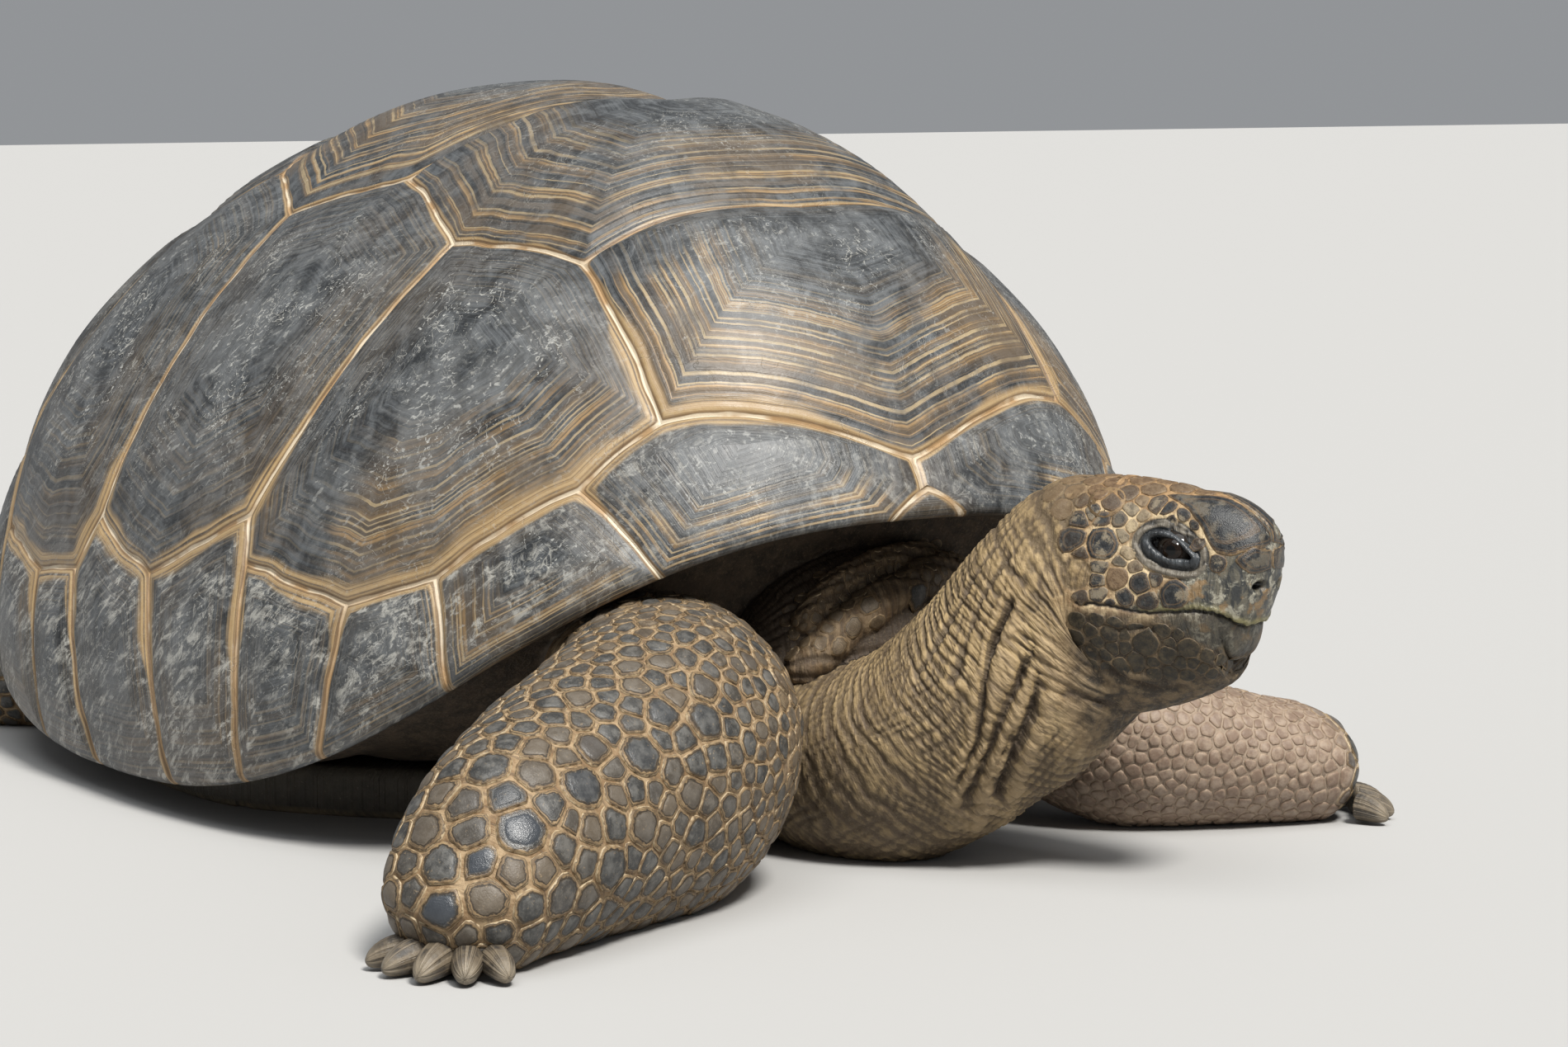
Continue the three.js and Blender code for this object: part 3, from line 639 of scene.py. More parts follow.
def outline_gap(x, z, outline):
    """Distance from a closed flat outline: positive outside it, negative inside."""
    line = rounded(outline, 0.25)
    gap = near_line(np.stack([x, z], axis=1), line)
    inside = np.zeros(len(x), bool)
    for (x0, z0), (x1, z1) in zip(line, line[1:]):
        if z0 != z1:
            inside ^= ((z0 > z) != (z1 > z)) & (x < (x1 - x0) * (z - z0) / (z1 - z0) + x0)
    return np.where(inside, -gap, gap)


def eyelids(where):
    """How far the lids stand out and the opening sinks, and how far off the opening is."""
    x, z = where[:, 0], where[:, 2]
    beside = ease(where[:, 1], 18, 28)
    close = np.flatnonzero((np.hypot(x, z) < 46) & (beside > 0))
    out = np.full(len(where), 99.0)
    out[close] = outline_gap(x[close], z[close], EYE_OPENING)
    lower = ease(-z - 0.45 * x, -2, 6)
    wide = 5.0 + 1.6 * lower
    rise = -4.2 * ease(-out, -0.4, 1.2)
    rise += (4.6 - 1.8 * lower) * np.sin(np.pi * np.clip((out + 0.3) / wide, 0, 1)) ** 0.6
    rise -= 1.5 * bell(out - wide - 0.5, 0.8)
    second = np.clip((out - wide - 1.2) / 6.0, 0, 1)
    rise += (0.4 + 1.1 * lower) * np.sin(np.pi * second)
    rise -= 1.0 * bell(out - wide - 7.8, 0.9)
    rows = np.stack([np.arctan2(z, x) * 9, out, 0 * out], axis=1)
    rise += 1.3 * noise(rows, 2.0, 59) * ease(out, wide, wide + 2) * ease(-out, -ORBIT, 2 - ORBIT)
    return rise * beside * ease(-np.hypot(x, z), -46, -34), out + 99 * (1 - beside)


def neck_wrinkles(body, ahead, out, above, neck, jowl):
    """Creases across, along and aslant on the neck, and fine ones under the jaw."""
    arc = body.spread(body.arc)
    radius = np.linalg.norm(body.grid - body.grid.mean(axis=1, keepdims=True), axis=2).mean(axis=1)
    beside = (body.turn[None] * radius[:, None]).ravel()
    slanted = arc + 0.22 * above
    across = wrinkles(slanted, beside, body.points, 9.5, 31, 1.3) * 1.6
    across += wrinkles(slanted, beside, body.points, 4.3, 37, 1.3) * 0.9
    across += wrinkles(slanted, beside, body.points, 2.6, 39) * 0.35
    lengthwise = wrinkles(beside, arc, body.points, 8.5, 41, 0.6) * (0.15 + 1.35 * ease(-above, 60, 130))
    crossed = wrinkles(0.75 * beside - 0.65 * slanted, arc, body.points, 5.4, 45, 0.8) * 0.8
    patchy = ease(noise(body.points, 60, 43), -0.5, 0.4)
    under_jaw = wrinkles(above * 0.8 - out * 0.6, ahead, body.points, 5.2, 47) * 1.1
    return neck * (across + crossed + lengthwise * patchy), jowl * (1 - neck) * under_jaw


def head_and_neck():
    """Head and neck in one loft, with all that is carved in them, and values for the skin's look."""
    sections = [(*head_point(ahead, 0, middle), *sizes) for ahead, middle, *sizes in HEAD_SECTIONS]
    share = len(NECK_STATIONS) / (len(NECK_STATIONS) + len(sections) - 1)
    body = Loft(NECK_STATIONS + sections, 400 // COARSE,
                lambda t: COARSE * (1.3 - 0.35 * ease(t, share - 0.12, share)))
    where = mirrored(body)
    swollen = sum(height * np.exp(-(((where - centre) / radii) ** 2).sum(axis=1))
                  for centre, radii, height in LUMPS)
    body.offset(swollen + 2.2 * noise(body.points, 60, 11) * ease(-where[:, 0], 60, 110))
    where = mirrored(body)
    ahead, out, above = where.T

    fine, from_eye = eyelids(where)
    mouth = near_line(where, snapped(MOUTH, where))
    over = above_mouth(ahead, above)
    teeth = 1.0 * np.sin(ahead * 2.1 + out * 1.2) * ease(ahead, 0, 20)
    fore = ease(ahead, -20, 30)
    fine -= 2.6 * bell(mouth + teeth * over, 1.25)
    fine += 0.9 * fore * over * bell(mouth - 3.2, 1.6)
    fine -= np.where(over, 0, (0.6 + 1.8 * ease(ahead, 15, 48)) * bell(mouth, 8)) * fore
    beak = over * ease(BEAK_SLOPE * (ahead - BEAK_BACK) - mouth, -3, 4)
    beak = np.maximum(beak, ease(ahead, 40, 50) * ease(above, -74, -62))
    lower_beak = ~over * ease(lower_lip(ahead) - mouth, -3, 3) * ease(ahead, -12, 4)
    beak = np.maximum(beak, 0.75 * lower_beak)
    nostril = from_mark(NOSTRIL, where, (0.75, 0.75, 1.3))
    fine += -8.0 * bell(nostril, 4.6) + 1.2 * bell(nostril - 7.0, 2.0)
    drum = from_mark(EARDRUM, where)
    fine -= 0.9 * bell(drum - EARDRUM_RADIUS, 1.4) + 0.5 * ease(-drum, -11, -9)
    fine += 0.55 * noise(body.points, 2.6, 57) * ease(-drum, -13, -9)
    for depth, width, course in FOLDS:
        course = snapped(course, where)
        gap = near_line(where, course) + 1.6 * noise(body.points, 12, 21) + 0.7 * noise(body.points, 5, 22)
        from_ends = np.minimum(*(np.linalg.norm(where - course[k], axis=1) for k in (0, -1)))
        deep = depth * ease(from_ends, -6, 26) * (1.0 + 0.35 * noise(body.points, 30, 23))
        rolled = 0.36 * bell(gap - 2.6 * width, 1.5 * width)
        fine += deep * (rolled - np.exp(-np.maximum(gap, 0) / (0.62 * width)))
    neck = ease(-ahead, 62, 92)
    jowl = ease(-above, 66, 84) * ease(ahead, -90, -60)
    for creases in neck_wrinkles(body, ahead, out, above, neck, jowl):
        fine += creases
    fine += 0.22 * noise(body.points, 4.5, 51) * (neck + jowl) + 0.1 * noise(body.points, 2.6, 53)
    head = 1 - neck
    body.offset(fine - HEAD_COAT * head)
    body.keep_above_floor()
    orbit = (ease(-from_eye, -ORBIT - 1, 1.5 - ORBIT) + ease(-from_eye, -8, -6)) / 2
    # wet marks the eye's opening, the nostrils and the mouth line, which the skin's material makes smooth
    # and paints near-black as shade.
    wet = ease(-from_eye, -0.6, 0.4) + ease(-nostril, -5.0, -3.4) + 0.85 * ease(-mouth, -1.5, -0.6)
    return body, {
        "fine": fine, "arc": body.spread(body.arc), "neck": 0 * fine + 1,
        "head": head * (1 - 0.8 * ease(-drum, -13, -10)), "jaw": ease(-above, 42, 56) * head,
        "rust": np.maximum(ease(above, 18, 32), ease(-ahead, 50, 78)) * head,
        "lid": orbit * ease(out, 18, 28), "beak": beak, "wet": np.clip(wet, 0, 1),
        "lip": bell(mouth - 1.5, 3.2) * ease(ahead, -30, 0) * over,
    }


# ---- legs, tail and trunk -----------------------------------------------------------------------
# Radius and course of the rolls of skin beside the neck.
FOLD_ROLLS = [
    (17, [(498, -62, 146), (501, -29, 176), (500, 8, 194), (489, 48, 205), (459, 98, 208)]),
    (13, [(488, -60, 182), (481, -24, 209), (470, 36, 226), (452, 81, 222)]),
]


def leg(name, stations):
    """One leg, folded towards the shell, and values for the skin's look."""
    columns = 110 if name.startswith("hind") else 130
    body = Loft(stations, columns // COARSE, lambda t: COARSE * 4.2 + 0 * t)
    arc = body.spread(body.arc)
    shape = 2.4 * noise(body.points, 70, 61) + 0.8 * noise(body.points, 26, 62) - LEG_COAT
    fold = wrinkles(arc, 80 * np.tile(body.turn, body.rows + 1), body.points, 26, 63 + len(name), 2.0)
    fold *= ease(-body.spread(body.t), -0.45, -0.2)
    body.offset(shape + 3.2 * fold)
    body.keep_above_floor()
    flat = np.zeros(len(body.points))
    return body, {"fine": 1.4 * fold, "arc": arc, "leg": flat + 1, "far": flat + (name == "foreleg_left")}


def tail():
    """The tail, and values for the skin's look."""
    body = Loft(TAIL, 72 // COARSE, lambda t: COARSE * 3.6 + 0 * t)
    body.offset(0.8 * noise(body.points, 30, 71) - LEG_COAT * 0.5)
    body.keep_above_floor()
    return body, {"leg": np.ones(len(body.points))}


def shoulder():
    """The rolls of slack skin over the shoulders, under the shell's front."""
    (x, y, z), (long, wide, high) = SHOULDER_FOLD.values()
    body = Loft([(x, y + k * wide, z, long, high, high) for k in (-1, 0, 1)], 260 // COARSE,
                lambda t: COARSE * 2.0 + 0 * t)
    roll = np.zeros(len(body.points))
    for radius, course in FOLD_ROLLS:
        gap = near_line(body.points, course) + 2.5 * noise(body.points, 22, 95)
        roll = np.maximum(roll, np.maximum(1 - (gap / radius) ** 2, 0) ** 0.7 * radius * 0.75)
    arc, beside = body.spread(body.arc), 90 * np.tile(body.turn, body.rows + 1)
    fine = wrinkles(beside, arc, body.points, 13, 97, 1.6) * 2.2
    fine = fine + wrinkles(arc, beside, body.points, 8, 98) * 1.2
    body.offset(roll - 7 + fine)
    # Off the rolls the fine value is lowered by 3, which the skin's material paints as deep shade.
    return body, {"fine": fine - 3 * (roll <= 0), "arc": arc, "leg": ease(roll, 0, 4) * 0.6}


def shell_grid(depth, reach, columns):
    """Points of a closed shell of rings on the dome, numbered from the crest outwards."""
    turn = turns(columns)
    disc = np.asarray(reach)[:, None, None] * np.stack([np.cos(turn), -np.sin(turn)], axis=1)
    return shell_at(disc.reshape(-1, 2), np.repeat(np.asarray(depth, float), columns))


def trunk():
    """The body inside the shell, drawn in behind the scutes and closed above the plastron."""
    columns, rows, under_rows = 200 // COARSE, 70 // COARSE, 36 // COARSE
    dome_part = shell_grid(np.full(rows, BODY_DEPTH), np.linspace(0.02, 0.985, rows), columns)
    rim = dome_part[-columns:]
    low = PLASTRON_THICKNESS + 1.5
    under = [np.column_stack([rim[:, :2] * (1 - q), rim[:, 2] + (low - rim[:, 2]) * ease(q, 0, 0.42)])
             for q in np.linspace(0, 1, under_rows + 1)[1:-1]]
    points, faces = ring_mesh(np.vstack([dome_part, *under]), columns)
    slack = ease(-points[:, 2], -300, -60)
    points += slack[:, None] * noise(points, 34, 81)[:, None] * (0, 0, 3.5)
    return points, faces


def ellipsoid(centre, radii, rows=48, columns=96):
    """Points and faces of a closed ball, squashed to these radii."""
    tilt, turn = np.linspace(0, np.pi, rows + 1)[1:-1, None], turns(columns)
    ball = np.stack([np.sin(tilt) * np.cos(turn), np.sin(tilt) * np.sin(turn), np.cos(tilt) + 0 * turn],
                    axis=-1)
    return ring_mesh(np.asarray(centre) + ball.reshape(-1, 3) * radii, columns)


def cap():
    """All that lies between the outside of the dome and the body's skin."""
    columns, rows = 200 // COARSE, 60 // COARSE
    reach = np.concatenate([np.linspace(0.02, 1, rows), np.linspace(1, 0.02, rows)])
    depth = np.concatenate([np.full(rows, -20.0), np.full(rows, SCUTE_THICKNESS + 8.0)])
    return ring_mesh(shell_grid(depth, reach, columns), columns)


def plastron_outline(step):
    """The plastron's edge, counter-clockwise seen from above."""
    right = np.array([(x, -y) for x, y in PLASTRON_HALF], float)
    knots = np.vstack([right[:1], right, right[-1:]])
    at = np.linspace(0, 1, 40) * (len(right) - 1)
    i = np.minimum(at.astype(int), len(right) - 2)
    w = (at - i)[:, None]
    p0, p1, p2, p3 = (knots[i + k] for k in range(4))
    curve = 0.5 * (2 * p1 + (p2 - p0) * w + (2 * p0 - 5 * p1 + 4 * p2 - p3) * w ** 2
                   + (3 * p1 - p0 - 3 * p2 + p3) * w ** 3)
    half = np.vstack([[(ANAL_NOTCH, 0)], curve, [(GULAR_NOTCH, 0)]])
    closed = np.vstack([half, (half * (1, -1))[::-1][1:-1], half[:1]])
    whole = lengths(closed)[-1]
    return along_line(closed, np.linspace(0, whole, int(whole / step))[:-1])


def plastron_rings(grow, step, levels):
    """Rings of the plastron's outline: levels are (inset, height) from the bottom to the top."""
    outline = plastron_outline(step)
    inward = unit(np.roll(outline, -1, axis=0) - np.roll(outline, 1, axis=0)) @ np.array([(0, 1), (-1, 0)])
    rings = [np.column_stack([outline + inward * (inset - grow), np.full(len(outline), height)])
             for inset, height in levels]
    return np.vstack(rings), len(outline)


SKIN_KEYS = ("fine", "arc", "neck", "head", "jaw", "leg", "far", "lid", "lip", "beak", "wet", "rust")


def combine(base, operation, name, points, faces, values=None):
    """Joins a mesh to the skin or cuts it away; values are for the skin's material."""
    plain = {key: np.zeros(len(points)) for key in SKIN_KEYS}
    other = build(name, points, faces, [], **(plain | (values or {})))
    modifier = base.modifiers.new("combine", "BOOLEAN")
    modifier.operation, modifier.object, modifier.solver = operation, other, "MANIFOLD"
    shown = base.evaluated_get(bpy.context.evaluated_depsgraph_get())
    mesh = bpy.data.meshes.new_from_object(shown)
    base.modifiers.clear()
    base.data = mesh
    bpy.data.objects.remove(other)


def make_skin(material):
    """One skin over head, neck, trunk, legs and tail, joined where they meet."""
    parts = {"shoulder": shoulder(), "head": head_and_neck(), "tail": tail()}
    parts.update({name: leg(name, stations) for name, stations in LEGS.items()})
    points, faces = trunk()
    skin = build("skin", points, faces, [], **{key: np.zeros(len(points)) for key in SKIN_KEYS})
    combine(skin, "DIFFERENCE", "hollow", *ellipsoid(**FRONT_HOLLOW))
    for name, (body, values) in parts.items():
        points, faces, source = body.mesh()
        combine(skin, "UNION", name, points, faces, {key: value[source] for key, value in values.items()})
    combine(skin, "DIFFERENCE", "cap", *cap())
    bed, columns = plastron_rings(2, 12, ((0, -30), (0, PLASTRON_THICKNESS + 1)))
    combine(skin, "DIFFERENCE", "bed", *ring_mesh(bed, columns))
    mesh = skin.data
    mesh.polygons.foreach_set("use_smooth", np.ones(len(mesh.polygons), bool))
    mesh.materials.clear()
    mesh.materials.append(material)
    place(skin, "skin", "head", "neck", "trunk", "tail", *LEGS)
    return skin, parts


# ---- plates over the skin -----------------------------------------------------------------------
PLATE_GAP = 0.62                      # half of the bare skin between two plates
PATCH = 0.0015                        # half of a plate's size on the OFBake map
NEIGHBOURS, WALL_NEIGHBOURS = 14, 10  # how many of the nearest bound a plate
CROWDING = 0.87                       # how close two plates may start, in the sum of their radii
SETTLING, SETTLING_STEP = 5, 0.67     # moves of the sites, and how far each goes to its cell's middle
OFF_LOFT = 3.5                        # plates further than this from their loft are left out
# How far from its middle each ring of a plate lies, in its own reach, and how high it stands.
BIG_PLATE = [(1.0, -0.7), (1.0, 0.3), (0.95, 0.68), (0.87, 0.76), (0.81, 0.68), (0.75, 0.84),
             (0.7, 0.76), (0.64, 0.92), (0.54, 1.06), (0.28, 1.14)]
SMALL_PLATE = [(1.0, -0.7), (0.98, 0.42), (0.88, 0.84), (0.6, 1.0)]
HEAD_PLATE = [(1.0, -1.2), (1.0, 0.2), (0.95, 0.82), (0.8, 0.96), (0.45, 1.0)]
BIG_RADIUS = 7.6                      # from which a leg's plate has the big profile
OVER_CLAW = {"ahead": 4, "above": 19, "radius": 9.5, "clear": 15}   # the plate above each claw
# Place, radius and gloss of the right foreleg's most visible plates.
FORELEG_PLATES = [
    (729, -423, 97, 17.4, 1), (711, -368, 118, 16, 0.5), (688, -310, 130, 16.3, 0.3),
    (665, -248, 144, 14.6, 0.2), (727, -453, 80, 10.6, 1), (719, -478, 47, 15, 1),
    (689, -348, 139, 13, 0.5), (707, -320, 85, 14.2, 0.1), (720, -352, 63, 14.7, 0.1),
    (737, -397, 51, 14.5, 0.1), (687, -272, 100, 12, 0.1), (674, -245, 120, 11.1, 0.1),
    (649, -238, 165, 12.6, 0.3), (659, -211, 124, 9.8, 0.1), (726, -452, 18, 9.7, 0.5),
    (712, -425, 116, 11.6, 0.5), (667, -283, 153, 12.4, 0.4), (616, -185, 173, 10.4, 0.3),
    (610, -154, 157, 10.4, 0.2), (681, -472, 94, 13.6, 0.1), (698, -450, 112, 11.6, 0.2),
    (708, -339, 109, 8.9, 0.1), (698, -306, 106, 8.3, 0.1), (726, -384, 99, 7, 0.1),
]


class Hide:
    """The finished skin, to lay plates on."""

    def __init__(self, thing):
        mesh = thing.data
        points = np.empty(len(mesh.vertices) * 3)
        mesh.vertices.foreach_get("co", points)
        points = (points.reshape(-1, 3) - HOME) / MM
        self.tree = BVHTree.FromPolygons([tuple(p) for p in points.tolist()],
                                         [tuple(face.vertices) for face in mesh.polygons])

    def nearest(self, points):
        """The nearest places on the skin, and its normals there."""
        found = [self.tree.find_nearest(p)[:2] for p in points.reshape(-1, 3).tolist()]
        return [np.array([tuple(f[k]) for f in found]).reshape(points.shape) for k in (0, 1)]


def plane_axes(normals):
    """Two directions across each normal, at right angles to one another."""
    first = unit(np.cross(normals, (0.31, 0.22, 0.93)))
    return first, np.cross(normals, first)


def bearings(to, axes):
    """The angle in the plane of each site's axes at which its neighbours lie."""
    first, second = axes
    return np.arctan2(np.einsum("nkj,nj->nk", to, second), np.einsum("nkj,nj->nk", to, first))


def cells(sites, sides, sharp=16):
    """How far each plate reaches at even angles round its middle, up to its neighbours."""
    places, normals, radii = sites["place"], sites["normal"], sites["radius"]
    bare = PLATE_GAP * sites["gap"]
    gap = np.linalg.norm(places[:, None] - places[None], axis=2)
    np.fill_diagonal(gap, 1e9)
    gap[normals @ normals.T < 0.1] = 1e9
    near = np.argsort(gap, axis=1)[:, :NEIGHBOURS]
    distance = np.take_along_axis(gap, near, axis=1)
    axes = plane_axes(normals)
    bearing = bearings(places[near] - places[:, None], axes)
    own = radii[:, None]
    half = (distance ** 2 + own ** 2 - radii[near] ** 2) / (2 * distance) - bare
    half = np.maximum(half, 0.4 * own)
    if sites["walls"] is not None:
        to = sites["walls"][None] - places[:, None]
        distance = np.linalg.norm(to, axis=2)
        near = np.argsort(distance, axis=1)[:, :WALL_NEIGHBOURS]
        to = np.take_along_axis(to, near[..., None], axis=1)
        distance = np.take_along_axis(distance, near, axis=1)
        bearing = np.hstack([bearing, bearings(to, axes)])
        half = np.hstack([half, np.maximum(distance - bare, 0.3 * own)])
    turn = turns(sides)
    pull = (np.maximum(np.cos(turn[None, :, None] - bearing[:, None]), 0) / half[:, None]) ** sharp
    return (pull.sum(axis=2) + (1 / (1.75 * own)) ** sharp) ** (-1 / sharp), turn


def scatter(body, hide, radius_at, tries, seed, fixed=(), keep=None, limit=0.45, gap=1.0, walls=None):
    """Sites for plates over a loft: the fixed ones, then others spread evenly between them."""
    random = np.random.default_rng(seed)
    points = body.points
    round_it = np.linalg.norm(np.roll(body.grid, -1, axis=1) - body.grid, axis=2)
    down_it = np.linalg.norm(np.gradient(body.grid, axis=0), axis=2)
    weight = (round_it * down_it).ravel() * keep
    picks = random.choice(len(points), tries // COARSE ** 2, p=weight / weight.sum())
    own = radius_at(picks) * random.uniform(0.82, 1.2, len(picks))
    places, radii = np.zeros((len(picks) + len(fixed), 3)), np.zeros(len(picks) + len(fixed))
    count = len(fixed)
    if count:
        places[:count], radii[:count] = [f[:3] for f in fixed], [f[3] for f in fixed]
    if walls is not None:
        to_wall = np.array([np.linalg.norm(walls - points[pick], axis=1).min() for pick in picks])
        clear = to_wall > own * 0.75
        picks, own = picks[clear], own[clear]
    for pick, radius in zip(picks, own):
        gaps = np.linalg.norm(places[:count] - points[pick], axis=1)
        if np.all(gaps >= (radii[:count] + radius) * CROWDING):
            places[count], radii[count] = points[pick], radius
            count += 1
    sites = {"place": places[:count], "radius": radii[:count], "gap": gap, "walls": walls}
    moving = np.arange(count) >= len(fixed)
    for _ in range(SETTLING):
        sites["place"], sites["normal"] = hide.nearest(sites["place"])
        reach, turn = cells(sites, 12)
        weight = (reach ** 2).sum(axis=1)
        steps = [((reach ** 3 * wave).sum(axis=1) / weight * SETTLING_STEP)[:, None] * axis
                 for wave, axis in zip((np.cos(turn), np.sin(turn)), plane_axes(sites["normal"]))]
        sites["place"] = sites["place"] + (steps[0] + steps[1]) * moving[:, None]
    sites["place"], sites["normal"] = hide.nearest(sites["place"])
    found, off = body.nearest(sites["place"])
    good = (off < OFF_LOFT) & (sites["place"][:, 2] > sites["radius"] * limit)
    sites.update(fixed=~moving, found=found)
    for key in ("place", "normal", "radius", "fixed", "found"):
        sites[key] = sites[key][good]
    return sites


def unwrap(made, uv):
    """Gives a mesh its OFBake map, from each point's place on it."""
    corners = np.empty(len(made.data.loops), np.int32)
    made.data.loops.foreach_get("vertex_index", corners)
    made.data.uv_layers.new(name="OFBake").data.foreach_set("uv", uv[corners].ravel())


def patch(turn, share):
    """A plate's own little disc on the OFBake map."""
    return np.stack([np.cos(turn), np.sin(turn)], axis=1) * share[:, None] * PATCH


def lay_plates(name, sites, which, body, hide, sides, profile, height, material, **values):
    """Solid plates of horn on the skin, joined in one mesh, each at its root's place on the unwrap."""
    reach, turn = cells(sites, sides)
    reach = np.maximum(reach, 0.5)[which]
    places, normals, found = (sites[key][which] for key in ("place", "normal", "found"))
    height = height[which][:, None]
    random = np.random.default_rng(len(name))
    reach = reach * random.uniform(0.97, 1.0, reach.shape)
    first, second = plane_axes(normals)
    out = first[:, None] * np.cos(turn)[:, None] + second[:, None] * np.sin(turn)[:, None]
    middle = places[:, None]
    half, full = (hide.nearest(middle + out * (reach * share)[..., None])[0] for share in (0.5, 1.0))
    lean = random.uniform(0, 0.35, (len(places), 1))
    lean_to = random.uniform(0, 2 * np.pi, (len(places), 1))
    rings = []
    for share, rise in profile:       # a parabola through the middle, half way and the edge
        curve = (middle * (2 * (share - 0.5) * (share - 1)) - half * (4 * share * (share - 1))
                 + full * (2 * share * (share - 0.5)))
        lift = rise * height * (1 + lean * np.cos(turn[None] - lean_to) * share * (rise > 0))
        rings.append(curve + normals[:, None] * lift[..., None])
    top = places + normals * (profile[-1][1] * height)
    count = len(places)
    points = np.concatenate([np.stack(rings, axis=1).reshape(count, -1, 3), top[:, None]], axis=1)
    each = points.shape[1]
    one = [tube_faces(len(profile), sides), fan_faces(each - 1, each - 1 - sides, sides),
           np.arange(sides)[None, ::-1]]
    start = (np.arange(count) * each)[:, None, None]
    faces = [(part[None] + start).reshape(-1, part.shape[1]) for part in one]
    share = np.concatenate([np.repeat([ring[0] for ring in profile], sides), [0]])
    points = points.reshape(-1, 3)
    points[:, 2] = np.maximum(points[:, 2], 0.3)
    made = build(name, points, faces, [material], reach=np.tile(share, count),
                 seed=np.repeat(random.random(count), each),
                 size=np.repeat(sites["radius"][which], each),
                 **{key: np.repeat(value[which], each) for key, value in values.items()})
    row, column = found // body.columns, found % body.columns
    root = np.stack([(column + 0.5) / body.columns, (row + 0.5) / (body.rows + 1)], axis=1)
    around = patch(np.concatenate([np.tile(turn, len(profile)), [0]]), share)
    unwrap(made, ((root * 0.99 + 0.005)[:, None] + around[None]).reshape(-1, 2))
    place(made, "horn")


def leg_plates(name, body, hide, material):
    """The plates of one leg: large and glossy low on the front, small towards the shell."""
    t = body.spread(body.t)
    normals = body.normals.reshape(-1, 3)
    right_fore, left_fore, rear = name == "foreleg_right", name == "foreleg_left", name.startswith("hind")
    fixed = [plate[:4] for plate in FORELEG_PLATES] if right_fore else []
    for root, turn, _ in claw_roots(name, LEGS[name]):
        out = np.array((math.cos(turn), math.sin(turn), 0))
        over_claw = root + out * OVER_CLAW["ahead"] + (0, 0, OVER_CLAW["above"])
        spot = hide.nearest(over_claw[None])[0][0]
        if all(np.linalg.norm(np.array(f[:3]) - spot) > OVER_CLAW["clear"] for f in fixed):
            fixed.append((*spot, OVER_CLAW["radius"]))
    facing = normals @ unit(np.array((0.75, -0.55 if name.endswith("right") else 0.55, 0.25)))
    outer = ease(normals[:, 1], 0.1, 0.6)
    if left_fore:
        def radius_at(picks):
            return 4.9 + 2.2 * ease(t[picks], 0.6, 0.95) + 3.0 * outer[picks]
    elif rear:
        def radius_at(picks):
            return 6.5 + 2.5 * ease(t[picks], 0.4, 0.9)
    else:
        def radius_at(picks):
            down, front = ease(t[picks], 0.3, 0.75), ease(facing[picks], -0.3, 0.8)
            return 6.2 + 4.0 * down * (0.4 + 0.6 * front) + 1.6 * front
    sites = scatter(body, hide, radius_at, 26000 if right_fore else 16000, 5 + len(name), fixed,
                    keep=t > (0.1 if rear else 0.22))
    found, radius = sites["found"], sites["radius"]
    front, low = ease(facing[found], -0.35, 0.75), ease(t[found], 0.25, 0.6)
    random = np.random.default_rng(17)
    stray = random.uniform(-0.25, 0.25, len(front))
    tone = np.clip(0.25 + 0.75 * front * (0.35 + 0.65 * low) + stray, 0, 1)
    gloss = np.zeros(len(front))
    if right_fore:
        for x, y, z, _, shine in FORELEG_PLATES:
            gloss[np.linalg.norm(sites["place"] - (x, y, z), axis=1) < 6] = shine
    height = np.clip(0.19 * radius + 0.4, 1.0, 3.2) * (0.8 if left_fore else 1)
    height *= random.uniform(0.75, 1.2, len(height))
    values = {"tone": tone, "gloss": gloss, "pink": (1 - outer[found]) * left_fore}
    big = radius > BIG_RADIUS
    for kind, which, sides, profile in (("plates", big, 22, BIG_PLATE), ("scales", ~big, 14, SMALL_PLATE)):
        lay_plates(f"{name}_{kind}", sites, which, body, hide, sides // COARSE, profile, height, material,
                   **values)


def shoulder_plates(body, values, neck, hide, material):
    """Scales on the rolls of skin beside the neck."""
    patchy = (values["leg"] > 0.1) & (noise(body.points, 20, 73) > 0.15)
    sites = scatter(body, hide, lambda picks: 5.0 + 2.4 * noise(body.points[picks], 30, 74), 5000, 71,
                    [(499, 33, 194, 8.5)], keep=patchy)
    flat = np.zeros(len(sites["radius"]))
    clear = neck.nearest(sites["place"])[1] > 14
    lay_plates("shoulder_scales", sites, clear, body, hide, 12 // COARSE, SMALL_PLATE, flat + 0.6,
               material, tone=np.where(sites["fixed"], 1.0, 0.1), gloss=flat, pink=flat)


def tail_plates(body, hide, material):
    """Scales all round the tail, smaller towards its tip."""
    t = body.spread(body.t)
    sites = scatter(body, hide, lambda picks: 7.5 - 4.5 * t[picks], 4000, 61, keep=t > 0.3)
    flat = np.zeros(len(sites["radius"]))
    lay_plates("tail_scales", sites, flat == 0, body, hide, 12 // COARSE, SMALL_PLATE, flat + 1.0,
               material, tone=flat + 0.4, gloss=flat, pink=flat)


